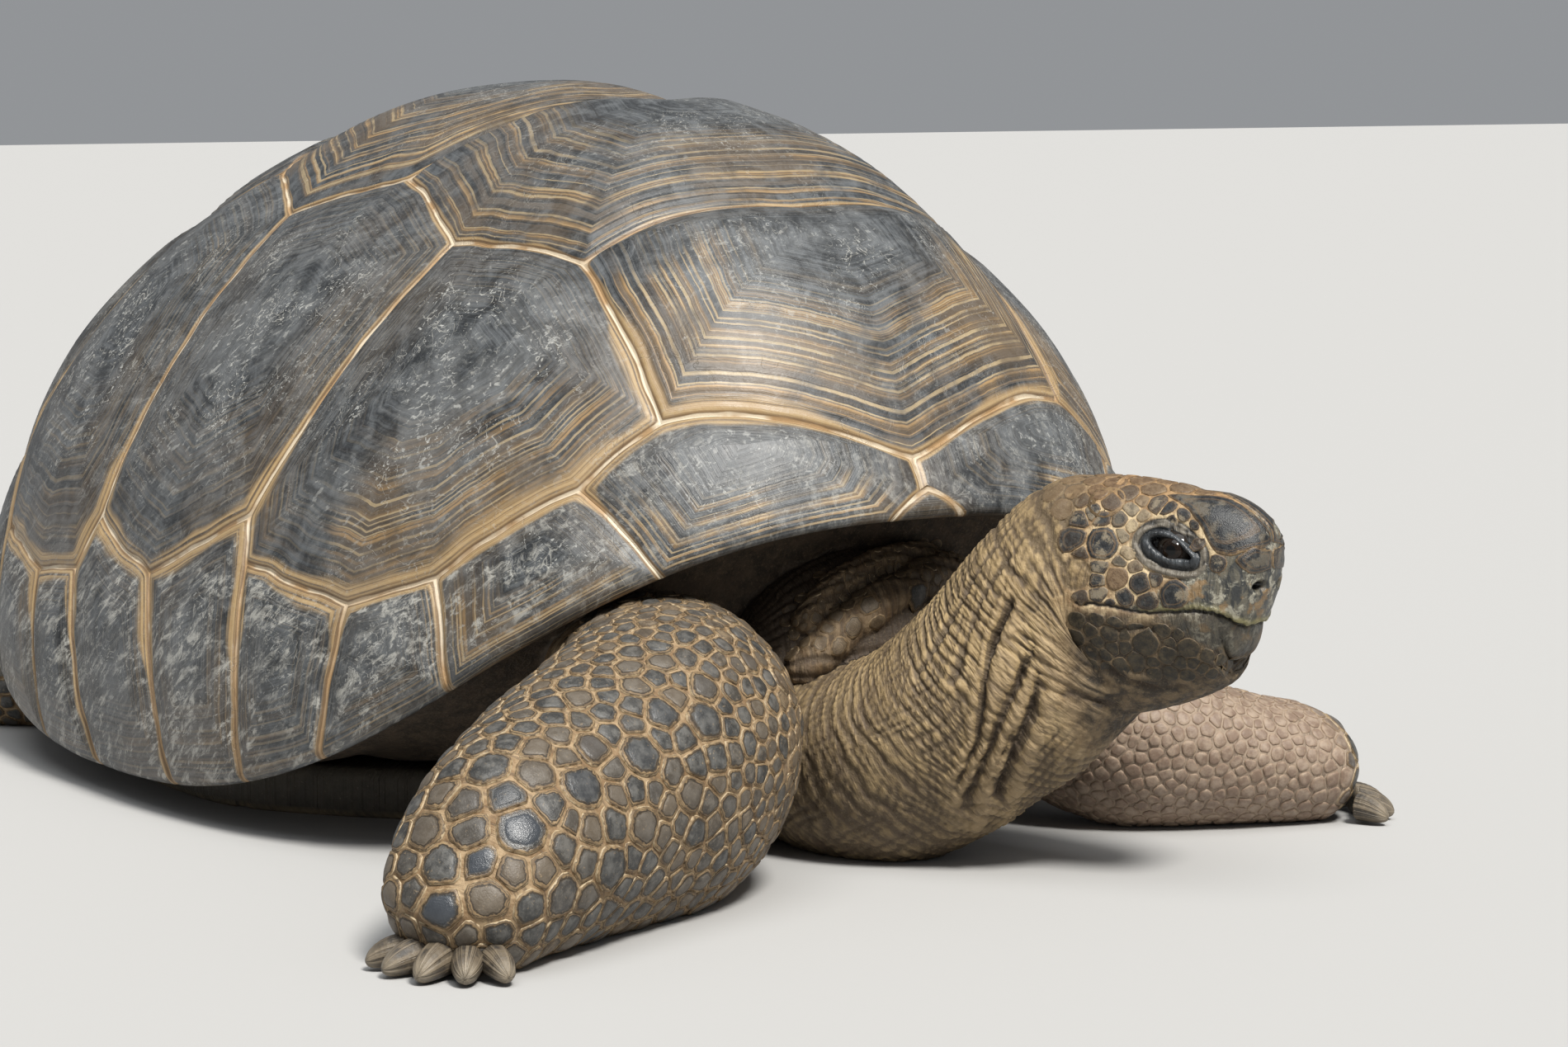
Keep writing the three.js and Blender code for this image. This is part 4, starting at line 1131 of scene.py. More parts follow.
# ---- the head's plates --------------------------------------------------------------------------
# Ahead, out, above, radius and slate of the plates of one half of the head; the other mirrors it.
HEAD_PLATES = [
    (-50, 49, -1, 12.5, 1), (-72, 50, 1, 8.1, 0.7), (-71, 44, 14, 5.8, 0.8), (-55, 33, 27, 8.2, 0.5),
    (-73, 35, 27, 5.4, 0.5), (-42, 24, 33, 7.5, 0.5), (-88, 38, 20, 6.3, 0.5), (-63, 40, 19, 4.9, 0.7),
    (-41, 39, 16, 5.7, 0.9), (-38, 44, 5, 4.7, 0.9), (-35, 50, -13, 4.2, 1), (-36, 52, -24, 8, 0.35),
    (-20, 49, -27, 7.6, 0.9), (-30, 52, -37, 5.2, 0.9), (-41, 54, -42, 4.7, 0.8), (-22, 49, -60, 6, 0.7),
    (-3, 45, -59, 7.5, 0.8), (-16, 45, -70, 10.5, 0.8), (-2, 40, -78, 7, 0.7), (14, 38, -72, 8, 0.6),
    (-25, 43, -83, 6.5, 0.6), (-41, 52, -64, 6, 0.6), (-9, 28, 25, 4.7, 0.9), (-28, 17, 37, 8, 0.4),
    (-58, 17, 38, 7.5, 0.3), (-40, 8, 42, 7.5, 0.3), (-76, 14, 38, 6.5, 0.3), (-8, 5, 39, 8, 0.4),
]
# Outlines of the big shields of the right half over the brow and the nose.
SHIELDS = [
    [(-16, 19, 35), (5, 24.5, 25), (19, 30, 14), (27, 34, 3), (33, 34, -4), (44, 30, -6), (56, 18, -1),
     (61, 8, 1), (60, 0.7, 3), (46, 0.7, 17), (30, 0.7, 27), (14, 5, 33), (-2, 12, 36)],
    [(44, 27, -9), (53, 18, 0), (61, 9, -2), (63, 0.7, -2), (68, 0.7, -16), (62, 12, -17), (52, 24, -18)],
]
SHIELD = [(1.0, -1.0), (1.0, 0.2), (0.97, 0.75), (0.92, 0.95), (0.8, 1.05), (0.6, 1.2), (0.4, 1.3),
          (0.2, 1.35)]               # share of the reach and height of each ring
SHIELD_TOP = 1.4
SEAM_SHIFT = 5                        # how far right of the middle the seam between them runs


def head_shields(body, hide, material):
    """The shields over the brow and the nose; gives back the points of their edges."""
    edges, all_points, all_faces, seeds, roots = [], [], [], [], []
    columns = 56 // COARSE
    shares, rises = (np.array(k) for k in zip(*SHIELD))
    reach = np.append(np.repeat(shares, columns), 0)
    around = patch(np.append(np.tile(turns(columns), len(SHIELD)), 0), reach)
    for outline in SHIELDS:
        for side in (-1, 1):
            line = rounded(np.array(outline) * (1, side, 1), 0.12)
            line = along_line(line, np.linspace(0, lengths(line)[-1], columns + 1)[:-1])
            line[:, 1] -= SEAM_SHIFT * np.maximum(1 - np.abs(line[:, 1]) / 25, 0)
            line = hide.nearest(np.array([head_point(*p) for p in line]))[0]
            centre = line.mean(axis=0)
            rows = centre + shares[:, None, None] * (line - centre)
            on_skin, normals = hide.nearest(np.vstack([rows.reshape(-1, 3), centre[None]]))
            facing = unit(normals.mean(axis=0))
            rise = np.append(np.repeat(rises, columns), SHIELD_TOP)
            points = on_skin + unit(normals + facing) * rise[:, None]
            last, start = len(points) - 1, len(points) * len(edges)
            faces = [tube_faces(len(SHIELD), columns), fan_faces(last, last - columns, columns),
                     np.arange(columns)[None, ::-1]]
            all_faces += [part + start for part in facing_out(points, faces)]
            all_points.append(points)
            seeds.append(np.full(len(points), len(seeds) * 0.23))
            edges.append(line)
            found = body.nearest(centre[None])[0][0]
            root = np.array([found % body.columns / body.columns, found // body.columns / body.rows])
            roots.append(root + around)
    points = np.vstack(all_points)
    flat = np.zeros(len(points))
    made = build("head_shields", points, all_faces, [material], reach=np.tile(reach, len(edges)),
                 seed=np.concatenate(seeds), tone=flat + 1, gloss=flat + 1)
    unwrap(made, np.vstack(roots) * 0.99 + 0.005)
    place(made, "horn")
    return edges


def under_shields(points, edges):
    """Which points lie within a shield's edge, or just outside it."""
    inside = np.zeros(len(points), bool)
    for edge in edges:
        centre = edge.mean(axis=0)
        span = np.linalg.norm(edge - centre, axis=1).max()
        close = np.flatnonzero(np.linalg.norm(points - centre, axis=1) < span)
        a = unit(edge[0] - centre)
        b = np.cross(unit(np.cross(edge[0] - centre, edge[len(edge) // 4] - centre)), a)

        def polar(places):
            x, y = (places - centre) @ a, (places - centre) @ b
            return np.arctan2(y, x), np.hypot(y, x)

        angle, far = polar(edge)
        order = np.argsort(angle)
        at, off = polar(points[close])
        inside[close] |= off < np.interp(at, angle[order], far[order], period=2 * np.pi) + 1.5
    return inside


def head_plates(body, hide, material):
    """The head's plates and scales, small round the eyes and on the temples."""
    edges = head_shields(body, hide, material)
    where = to_head(body.points)
    ahead, out, above = where[:, 0], np.abs(where[:, 1]), where[:, 2]
    from_eye = eyelids(np.stack([ahead, out, above], axis=1))[1]
    lips = snapped([(a, o * side, z) for side in (-1, 1) for a, o, z in MOUTH], where)
    mouth = near_line(where, lips)
    drum = np.hypot(ahead - EARDRUM[0], above - EARDRUM[2])
    walls = [*edges, body.points[np.abs(from_eye - ORBIT) < 0.5][::3],
             np.array([head_point(*p) for p in lips]),
             body.points[(np.abs(drum - EARDRUM_RADIUS) < 0.7) & (out > 30)][::3],
             body.points[(np.abs(mouth - lower_lip(ahead)) < 0.6) & (above < -46) & (ahead > -70)][::3]]
    fixed = [(*head_point(a, o * side, z), r) for side in (-1, 1) for a, o, z, r, _ in HEAD_PLATES]
    over = above_mouth(ahead, above)
    beak = over & (mouth < BEAK_SLOPE * (ahead - BEAK_BACK)) | (ahead > 50) & (above > -66)
    behind = -92 + 18 * ease(-above, -30, -6) + 10 * ease(-above, 20, 40) + 16 * ease(-above, 78, 96)
    keep = (ahead > behind) & (above > -88 + 5 * noise(body.points, 12, 43))
    keep &= (from_eye > ORBIT) & ~beak & (over | (mouth > lower_lip(ahead)))
    keep &= ~((drum < 12) & (out > 30)) & ~under_shields(body.points, edges)

    def radius_at(picks):
        near_eye = ease(from_eye[picks], 20, ORBIT)
        low, jowl = ease(-above[picks], 76, 100), ease(-above[picks], 46, 54)
        return (6.3 - 2.4 * near_eye - 1.6 * jowl) * (1 - 0.3 * low) + 0.8 * ease(above[picks], 24, 38)

    sites = scatter(body, hide, radius_at, 26000, 41, fixed, keep=keep, limit=0, gap=0.55,
                    walls=np.vstack(walls)[::COARSE])
    local = to_head(sites["place"])
    stray = np.random.default_rng(3).uniform(-0.2, 0.2, len(local))
    tone = np.clip(0.72 - 0.5 * ease(local[:, 2], 16, 36) + stray, 0, 1)
    for side in (-1, 1):
        for a, o, z, r, slate in HEAD_PLATES:
            tone[np.linalg.norm(local - (a, o * side, z), axis=1) < r * 0.6] = slate
    fade = 1 - ease(local[:, 0], -90, -68)
    jaw = ease(-local[:, 2], 40, 56)
    height = np.clip(0.08 * sites["radius"] + 0.3, 0.45, 0.95) * (1 - 0.6 * fade)
    height *= 1 - 0.35 * jaw
    pale = np.exp(-((local[:, 0] + 31) / 8) ** 2 - ((local[:, 2] - 7) / 17) ** 2)
    lay_plates("head_plates", sites, tone >= 0, body, hide, 14 // COARSE, HEAD_PLATE, height, material,
               tone=tone, gloss=0 * tone, jaw=jaw, fade=fade * 0.7, pale=pale)


# ---- eyes, claws and plastron -------------------------------------------------------------------
EYE = {"ahead": -1, "out": 26.3, "above": -4, "radius": 15.5, "cornea": 1.3}
CLAWS = {
    "foreleg": {"count": 5, "length": 29, "radius": 12, "spread": 104, "across": 44},
    "hindleg": {"count": 4, "length": 28, "radius": 12.5, "spread": 84, "across": 50},
}
CLAW_ALONG, CLAW_HEIGHT = 26, 13      # of the roots, ahead of the foot's last but one station
CLAW_DROOP = math.radians(10)
PLASTRON_SEAMS = [375, 255, 105, -95, -255]     # where seams cross the middle, from the front


def eyeball(side, material):
    """A dark eye with its cornea swelling out in front of the iris."""
    name = "left" if side > 0 else "right"
    centre = head_point(EYE["ahead"], side * EYE["out"], EYE["above"])
    axis = unit(head_point(EYE["ahead"] + 3, side * (EYE["out"] + 20), EYE["above"] + 1) - centre)
    rows, columns = 48 // COARSE, 64 // COARSE
    tilt, turn = np.linspace(0, np.pi, rows + 1)[1:-1], turns(columns)
    first, second = plane_axes(axis)
    radius = EYE["radius"] + EYE["cornea"] * ease(-tilt, -0.62, -0.3)
    ring = np.cos(turn)[:, None] * first + np.sin(turn)[:, None] * second
    deep, wide = radius * np.cos(tilt), radius * np.sin(tilt)
    points = centre + deep[:, None, None] * axis + wide[:, None, None] * ring
    points, faces = ring_mesh(points.reshape(-1, 3), columns)
    points[0] = centre + axis * (EYE["radius"] + EYE["cornea"])
    made = build(f"eyeball_{name}", points, faces, [material],
                 tilt=np.concatenate([[0], np.repeat(tilt, columns), [np.pi]]))
    place(made, "eye", f"eye_{name}")


def claw_roots(name, stations):
    """The root and heading of each claw of a foot, and how far it stands from the middle claw."""
    kind = CLAWS[name.split("_")[0]]
    foot, before = np.array(stations[-2][:3], float), np.array(stations[-3][:3], float)
    heading = math.atan2(foot[1] - before[1], foot[0] - before[0])
    for k in range(kind["count"]):
        part = k / (kind["count"] - 1) - 0.5
        off = math.radians(kind["spread"]) * part
        ahead, across = CLAW_ALONG * math.cos(off), kind["across"] * math.sin(off)
        root = np.array((foot[0] + ahead * math.cos(heading) - across * math.sin(heading),
                         foot[1] + ahead * math.sin(heading) + across * math.cos(heading), CLAW_HEIGHT))
        yield root, heading + off, abs(2 * part)


def claws(name, stations, material):
    """The blunt, ridged claws of one foot."""
    kind, up = CLAWS[name.split("_")[0]], np.array((0, 0, 1))
    points, faces, seeds = [], [], []
    rows, columns = 26 // COARSE, 28 // COARSE
    t, angle = np.linspace(0, 1, rows), turns(columns)
    for k, (root, turn, off) in enumerate(claw_roots(name, stations)):
        out, side = (np.array((math.cos(turn + q), math.sin(turn + q), 0)) for q in (0, math.pi / 2))
        size = 1 - 0.12 * off
        length = kind["length"] * size
        droop = -CLAW_HEIGHT * 0.35 * t ** 2 - math.tan(CLAW_DROOP) * length * t * 0.3
        middle = root + out * (length * t)[:, None] + up * droop[:, None]
        fat = kind["radius"] * size * (1 - 0.22 * t) * np.sqrt(1 - (t * 0.995) ** 3.6)
        ridge = 1 + 0.02 * np.sin(angle * 9 + k) + 0.015 * np.sin(angle * 4 + 2 * k)
        rings = (1 + 0.01 * np.sin(t * 44 + k))[:, None]
        wide = fat[:, None] * np.cos(angle) * ridge * rings
        tall = fat[:, None] * np.sin(angle) * ridge * np.where(np.sin(angle) > 0, 1.15, 1.0) * rings
        body = (middle[:, None] + side * wide[..., None] + up * tall[..., None]).reshape(-1, 3)
        body[:, 2] = np.maximum(body[:, 2], 0.4)
        made, parts = ring_mesh(body, columns)
        faces += [part + len(made) * k for part in parts]
        points.append(made)
        seeds.append(np.full(len(made), (k * 37 % 11) / 11))
    share = np.concatenate([[0], np.repeat(t, columns), [1]])
    angles = np.concatenate([[0], np.tile(angle, rows), [0]])
    made = build(f"claws_{name}", np.vstack(points), faces, [material], seed=np.concatenate(seeds),
                 share=np.tile(share, len(seeds)), angle=np.tile(angles, len(seeds)))
    place(made, "horn")


def plastron(material):
    """The belly's shield, flat on the floor, with its seams."""
    levels = ((14, 0), (5, 0), (1.5, 2.5), (0, 7), (0, PLASTRON_THICKNESS - 8),
              (3, PLASTRON_THICKNESS - 2), (9, PLASTRON_THICKNESS))
    rings, columns = plastron_rings(0, 6 * COARSE, levels)
    low = rings[:columns]
    inner = [np.column_stack([low[:, :2] * s, low[:, 2]]) for s in np.linspace(0, 1, 34 // COARSE)[1:-1]]
    points, faces = ring_mesh(np.vstack([*inner, rings]), columns)
    seam_gap = np.abs(points[:, 1] - 3 * np.sin(points[:, 0] / 50))
    for x in PLASTRON_SEAMS:
        line = x + 10 * np.sin(points[:, 1] / 60) - 0.08 * np.abs(points[:, 1])
        seam_gap = np.minimum(seam_gap, np.abs(points[:, 0] - line))
    points[:, 2] += np.where(points[:, 2] < 1, 1.6 * bell(seam_gap, 3.5), 0)
    # flank marks the plastron's sides, which its material darkens as painted shade.
    made = build("belly_shield", points, faces, [material], seam=seam_gap, flank=ease(points[:, 2], 1, 5))
    place(made, "plastron_horn", "plastron")


# ---- materials ----------------------------------------------------------------------------------
class Field:
    """A number or a colour that nodes work out, to reckon with as in a formula."""

    def __init__(self, look, socket):
        self.look, self.socket = look, socket

    def __add__(self, other):
        return self.look.math("ADD", self, other)

    def __sub__(self, other):
        return self.look.math("SUBTRACT", self, other)

    def __rsub__(self, other):
        return self.look.math("SUBTRACT", other, self)

    def __mul__(self, other):
        return self.look.math("MULTIPLY", self, other)

    def __truediv__(self, other):
        return self.look.math("DIVIDE", self, other)

    def __abs__(self):
        return self.look.math("ABSOLUTE", self)

    def ramp(self, start, end, low=0.0, high=1.0):
        """A smooth step from low to high while this goes from start to end."""
        inputs = dict(enumerate((self, start, end, low, high)))
        return self.look.node("MapRange", inputs, interpolation_type="SMOOTHSTEP")

    def mix(self, first, second):
        """The first colour where this is 0, and the second where it is 1."""
        return self.look.node("Mix", {"Factor": self, 6: first, 7: second}, 2, data_type="RGBA")


class Look:
    """A material made of nodes, painted in layers."""

    def __init__(self, name):
        self.material = bpy.data.materials.new(name)
        self.material.use_nodes = True
        self.tree = self.material.node_tree
        self.tree.nodes.clear()
        self.shader = self.tree.nodes.new("ShaderNodeBsdfPrincipled")
        output = self.tree.nodes.new("ShaderNodeOutputMaterial")
        self.tree.links.new(self.shader.outputs["BSDF"], output.inputs["Surface"])
        self.place = self.node("TexCoord", {}, "Object")
        self.base = None

    def node(self, kind, inputs, output=0, **settings):
        """Adds a node with its inputs by number or name, and gives one of its outputs."""
        node = self.tree.nodes.new("ShaderNode" + kind)
        for key, value in settings.items():
            setattr(node, key, value)
        for key, value in inputs.items():
            self.feed(node.inputs[key], value)
        return Field(self, node.outputs[output])

    def feed(self, socket, value):
        if isinstance(value, Field):
            self.tree.links.new(value.socket, socket)
        elif isinstance(value, tuple) and len(socket.default_value) == 4:
            socket.default_value = (*value, 1)
        else:
            socket.default_value = value

    def values(self, *names):
        """The numbers that the mesh holds at its points under these names."""
        return [self.node("Attribute", {}, "Fac", attribute_name=name) for name in names]

    def math(self, operation, a, b=0.0, c=0.0):
        return self.node("Math", {0: a, 1: b, 2: c}, operation=operation)

    def axis(self, letter):
        return self.node("SeparateXYZ", {0: self.place}, letter)

    def noise(self, size, detail=3.0, rough=0.5, warp=0.0, vector=None):
        inputs = {"Vector": vector or self.place, "Scale": 1 / size, "Detail": detail,
                  "Roughness": rough, "Distortion": warp}
        return self.node("TexNoise", inputs, "Fac")

    def lines(self, along, detail=2.0, rough=0.6):
        """Noise along one number only, which draws stripes."""
        inputs = {"W": along, "Scale": 1.0, "Detail": detail, "Roughness": rough}
        return self.node("TexNoise", inputs, "Fac", noise_dimensions="1D")

    def stretched(self, scale, place=None):
        """The place, squeezed along its axes to draw streaks."""
        return self.node("VectorMath", {0: place or self.place, 1: scale}, operation="MULTIPLY")

    def slanted(self, share):
        """The place, squeezed along a line up and forward, for scratches that run that way."""
        inputs = {"Vector": self.place, "Angle": math.radians(40)}
        return self.stretched((share, 1, 1), self.node("VectorRotate", inputs, rotation_type="Y_AXIS"))

    def pleated(self, arc):
        """The place drawn out round a limb and kept short along it, for pleats across it."""
        along = self.node("CombineXYZ", {0: arc * MM})
        return self.node("VectorMath", {0: along, 1: self.stretched((0.13, 0.13, 0.13))}, operation="ADD")

    def paint(self, amount, colour):
        """Lays a colour over what is there, as thick as the amount says."""
        self.base = amount.mix(self.base, colour)

    def finish(self, roughness, relief=None, depth=0.001, **settings):
        inputs = {"Base Color": self.base, "Roughness": roughness}
        inputs.update((key.replace("_", " "), value) for key, value in settings.items())
        if relief is not None:
            inputs["Normal"] = self.node("Bump", {"Height": relief, "Distance": depth, "Strength": 1.0})
        for key, value in inputs.items():
            self.feed(self.shader.inputs[key], value)
        return self.material


SLATE = (0.014, 0.016, 0.018)
SLATE_PALE = (0.09, 0.097, 0.103)
BROWN = (0.11, 0.075, 0.042)
OCHRE = (0.34, 0.21, 0.085)
TAN = (0.42, 0.32, 0.18)
CREAM = (0.56, 0.48, 0.36)
CHALK = (0.42, 0.41, 0.37)


def horn(name, rings, mottle, chalk):
    """Old tortoise horn: slate, with growth rings, tan bands and a pale line at the seams."""
    look = Look(name)
    ring, fan, ringed, seam_gap, down, seed, inside = look.values(
        "ring", "fan", "ringed", "seam", "down", "seed", "inside")
    ahead = look.axis("X")
    middle, fine = look.noise(0.02, 4, 0.62, 0.5), look.noise(0.0035, 4, 0.65)
    wobble = (look.noise(0.11, 1) - 0.5) * 1.1 + (look.noise(0.013, 2) - 0.5) * 0.16
    along = look.math("MULTIPLY_ADD", ring, rings, wobble) + seed * 57.0
    grain = look.lines(along * 2.6, 4, 0.72)
    look.base = (middle * 0.7 + grain * 0.45).ramp(0.46, 0.74).mix(SLATE, SLATE_PALE)
    look.paint(fine.ramp(0.45, 0.75, 0.0, 0.4), SLATE_PALE)

    # growth rings: a brown ground, broad ochre stripes and thin tan ones
    outer = ring.ramp(0.22, 0.62)
    side = (fan * 0.4 + look.noise(0.16, 1)).ramp(0.44, 0.66) * ringed
    brownish = (look.noise(0.1, 3, 0.5) + grain * 0.5).ramp(0.68, 0.9)
    look.paint(brownish * outer * side.ramp(0.0, 1.0, 0.2, 0.75), BROWN)
    stripes = look.lines(along, 2, 0.6).ramp(0.5, 0.58)
    thin = look.lines(along * 3.4, 1, 0.5).ramp(0.57, 0.63)
    broken = look.noise(0.045, 3, 0.6).ramp(0.36, 0.56, 0.3, 1.0)
    ochre = grain.ramp(0.4, 0.62).mix(BROWN, OCHRE)
    look.paint(stripes * outer * broken * side.ramp(0.0, 1.0, 0.06, 0.85), ochre)
    look.paint(thin * outer * broken * side.ramp(0.0, 1.0, 0.1, 0.7), TAN)
    flecks = look.noise(0.007, 5, 0.75, 0.5, look.slanted(0.3)).ramp(0.47, 0.66)
    flecks = flecks * look.noise(0.04, 3, 0.6).ramp(0.36, 0.56, 0.15, 1.0)
    look.paint(flecks * mottle * ahead.ramp(0.3, 0.42, 1.0, 0.35), CHALK)

    # the tan band along the seams
    band_lines = look.lines(look.math("MULTIPLY_ADD", seam_gap, 0.34, seed * 91.0), 4, 0.65)
    wide = down.ramp(0.58, 0.7, 0.35, 1.0) - down.ramp(0.8, 0.87, 0.0, 0.65)
    width = look.noise(0.09, 2).ramp(0.3, 0.7, 10.0, 21.0) * wide
    near = (seam_gap / width).ramp(1.0, 0.5)
    band = band_lines.ramp(0.36, 0.6).mix(middle.mix(BROWN, OCHRE), fine.mix(OCHRE, TAN))
    look.paint(near * band_lines.ramp(0.32, 0.46, 0.2, 0.95), band)

    # scratches, and chalky streaks and marks
    where = look.noise(0.06, 2).ramp(0.42, 0.6)
    scratches = abs(look.noise(0.02, 2, 0.5, 1.2) - 0.5).ramp(0.014, 0.0) * where
    worn = ring.ramp(0.9, 0.3, 0.3, 1.0)
    look.paint(scratches * chalk * worn, CHALK)
    streaks = look.noise(0.005, 3, 0.65, 0.6, look.slanted(0.22)).ramp(0.56, 0.66)
    patches = look.noise(0.075, 2, 0.6).ramp(0.42, 0.6)
    look.paint(patches * chalk * worn * 0.35, (0.2, 0.205, 0.205))
    look.paint(streaks * patches * chalk * worn, (0.36, 0.36, 0.34))
    marks = look.noise(0.004, 2, 0.6, 1.5, look.slanted(0.5)).ramp(0.62, 0.68) * where
    look.paint(marks * chalk * worn, (0.5, 0.5, 0.47))

    # the seam itself: a dark border, and a pale line that is bright at the front and the rim
    look.paint(seam_gap.ramp(3.8, 2.0, 0.0, 0.75), (0.1, 0.055, 0.025))
    line = seam_gap + (look.noise(0.035, 2) - 0.5) * 3.2
    bright = look.math("MAXIMUM", down.ramp(0.78, 0.86, 0.9, 0.1), ahead.ramp(0.16, 0.3))
    pale = (bright * look.noise(0.04, 3).ramp(0.4, 0.56)).mix((0.34, 0.22, 0.11), CREAM)
    look.paint(line.ramp(2.1, 1.1), pale)
    look.paint(inside, (0.02, 0.018, 0.013))
    relief = grain * 0.6 + fine * 0.3 - scratches * 0.3
    rough = (middle + scratches * 0.3).ramp(0.3, 0.8, 0.4, 0.6)
    return look.finish(rough, relief, 0.0008, Coat_Weight=0.06, Coat_Roughness=0.35)


def hide(name):
    """Dry, wrinkled skin: tan on the neck, with painted shade in its creases and painted light on its
    ridges, and pale between the legs' plates.
    """
    look = Look(name)
    fine, arc, neck_part, head, jaw, leg_part, far, lid, lip, beak, wet, rust = look.values(*SKIN_KEYS)
    above = look.axis("Z")
    broad, middle, grain = look.noise(0.06, 3, 0.5), look.noise(0.012, 4, 0.6), look.noise(0.0022, 3, 0.7)
    look.base = middle.ramp(0.35, 0.7).mix((0.028, 0.02, 0.013), (0.075, 0.053, 0.034))
    neck = broad.ramp(0.35, 0.65).mix((0.24, 0.168, 0.08), (0.37, 0.265, 0.13))
    neck = middle.ramp(0.45, 0.75, 0, 0.6).mix(neck, (0.4, 0.295, 0.165))
    # Painted shadow of the head: the neck is darkened low down, towards the throat.
    low = above.ramp(0.16, 0.04) * middle.ramp(0.3, 0.7, 0.3, 0.75)
    neck = low.mix(neck, (0.08, 0.058, 0.034))
    # Painted shade: the neck is darkened towards its top.
    neck = above.ramp(0.22, 0.33, 0.0, 0.85).mix(neck, (0.12, 0.079, 0.041))
    look.paint(neck_part, neck)
    face = middle.ramp(0.4, 0.6).mix((0.23, 0.15, 0.077), (0.53, 0.415, 0.25))
    face = rust.mix(face, middle.ramp(0.35, 0.65).mix((0.17, 0.095, 0.04), (0.32, 0.2, 0.095)))
    # The jaw's skin is darker: its own dark colour, with painted shade under the head.
    face = jaw.mix(face, middle.ramp(0.4, 0.65).mix((0.03, 0.022, 0.014), (0.13, 0.09, 0.048)))
    look.paint(head, face)
    net = middle.ramp(0.35, 0.65).mix((0.17, 0.103, 0.047), (0.33, 0.235, 0.135))
    look.paint(leg_part, far.mix(net, (0.27, 0.205, 0.15)))
    # Painted shade in the creases and hollows, darker the deeper they sink, and painted light on the
    # ridges, from the height of the fine relief.
    look.paint(fine.ramp(-1.6, -5.0, 0.0, 0.85), (0.02, 0.014, 0.01))
    look.paint(fine.ramp(0.0, -1.4, 0.0, 0.75), (0.05, 0.034, 0.021))
    look.paint(fine.ramp(0.2, 1.4, 0.0, 0.5), (0.33, 0.24, 0.135))
    look.paint(grain.ramp(0.5, 0.8, 0.0, 0.35), (0.36, 0.265, 0.155))

    # beak, lips, lids and what is wet, with painted shade in the eye's opening, the nostrils and the mouth
    # line
    streaks = look.noise(0.008, 3, 0.65, 0.8, look.stretched((1, 1, 0.4)))
    horny = streaks.ramp(0.4, 0.58).mix((0.03, 0.032, 0.032), (0.11, 0.1, 0.075))
    horny = look.noise(0.01, 4, 0.7, 0.4).ramp(0.5, 0.62, 0.0, 0.8).mix(horny, (0.36, 0.34, 0.27))
    horny = look.noise(0.014, 3).ramp(0.56, 0.66, 0.0, 0.7).mix(horny, (0.22, 0.13, 0.05))
    # The beak is darkened on the lower jaw: its dark horn, with painted shade.
    look.paint(beak, (jaw * 0.6).mix(horny, (0.022, 0.02, 0.013)))
    look.paint(lip * middle.ramp(0.3, 0.6, 0.4, 0.9), (0.25, 0.22, 0.085))
    # The wrinkled ring round the eye: painted shade in its hollows and painted light on its ridges.
    orbit = fine.ramp(-0.7, 0.6).mix((0.02, 0.018, 0.015), (0.14, 0.122, 0.095))
    look.paint(lid.ramp(0.05, 0.45), orbit)
    lids = middle.ramp(0.4, 0.7).mix((0.02, 0.023, 0.026), (0.065, 0.072, 0.078))
    look.paint(lid.ramp(0.6, 0.95), lids)
    # Near-black in the eye's opening, the nostrils and the mouth line: wet skin, with painted shade in
    # these hollows.
    look.paint(wet, (0.004, 0.003, 0.003))
    pleats = look.noise(0.0035, 3, 0.6, 0.3, look.pleated(arc))
    # Painted shade in the grooves of the fine pleats on the neck.
    look.paint(pleats.ramp(0.5, 0.36) * (1.0 - head) * 0.55, (0.07, 0.047, 0.03))
    smooth = lid * 0.4 + (wet * 0.15 + beak * 0.28)
    rough = look.math("MAXIMUM", 0.74 - smooth, 0.25)
    return look.finish(rough, grain * 0.5 + (look.noise(0.005, 2) + pleats * 1.6))


def leg_horn(name):
    """Leg plates: worn slate in the middle, brown growth rings, and a pale edge."""
    look = Look(name)
    reach, seed, tone, gloss, pink, size = look.values("reach", "seed", "tone", "gloss", "pink", "size")
    middle, fine = look.noise(0.008, 3, 0.6), look.noise(0.0016, 3, 0.7)
    slate = middle.ramp(0.35, 0.7).mix((0.026, 0.026, 0.025), (0.1, 0.097, 0.09))
    slate = fine.ramp(0.5, 0.8, 0, 0.5).mix(slate, (0.15, 0.14, 0.12))
    slate = seed.ramp(0.45, 1.0, 0.0, 0.6).mix(slate, (0.14, 0.105, 0.068))
    wobble = (look.noise(0.004, 2) - 0.5) * 0.3
    rings = look.lines((reach + wobble) * 11.0 + seed * 60)
    brown = middle.ramp(0.35, 0.7).mix((0.13, 0.084, 0.042), (0.27, 0.185, 0.095))
    brown = rings.ramp(0.45, 0.62, 0.0, 0.7).mix(brown, (0.03, 0.022, 0.014))
    off = reach + wobble + seed * 0.1
    shield = off.ramp(0.86, 0.76) * (tone + (seed - 0.5) * 0.5).ramp(0.0, 0.6, 0.3, 1.0)
    look.base = shield.mix(brown, slate)
    groove = abs(off - 0.84).ramp(0.07, 0.02)
    look.paint(groove * size.ramp(5.0, 8.0, 0.4, 0.9), (0.02, 0.015, 0.01))
    look.paint((reach + wobble * 0.4).ramp(0.975, 1.0, 0.0, 0.8), (0.46, 0.37, 0.24))
    look.paint(pink * 0.85, middle.ramp(0.35, 0.7).mix((0.2, 0.135, 0.095), (0.33, 0.25, 0.185)))
    look.paint(look.noise(0.003, 3, 0.7).ramp(0.6, 0.72) * 0.5, (0.3, 0.22, 0.13))
    look.paint(gloss * reach.ramp(0.75, 0.6), middle.mix((0.028, 0.032, 0.038), (0.055, 0.061, 0.07)))
    rough = 0.62 - (shield * 0.14 + gloss * 0.22)
    return look.finish(rough, fine * 0.6 + rings * 0.25, 0.0006, Specular_IOR_Level=0.45)


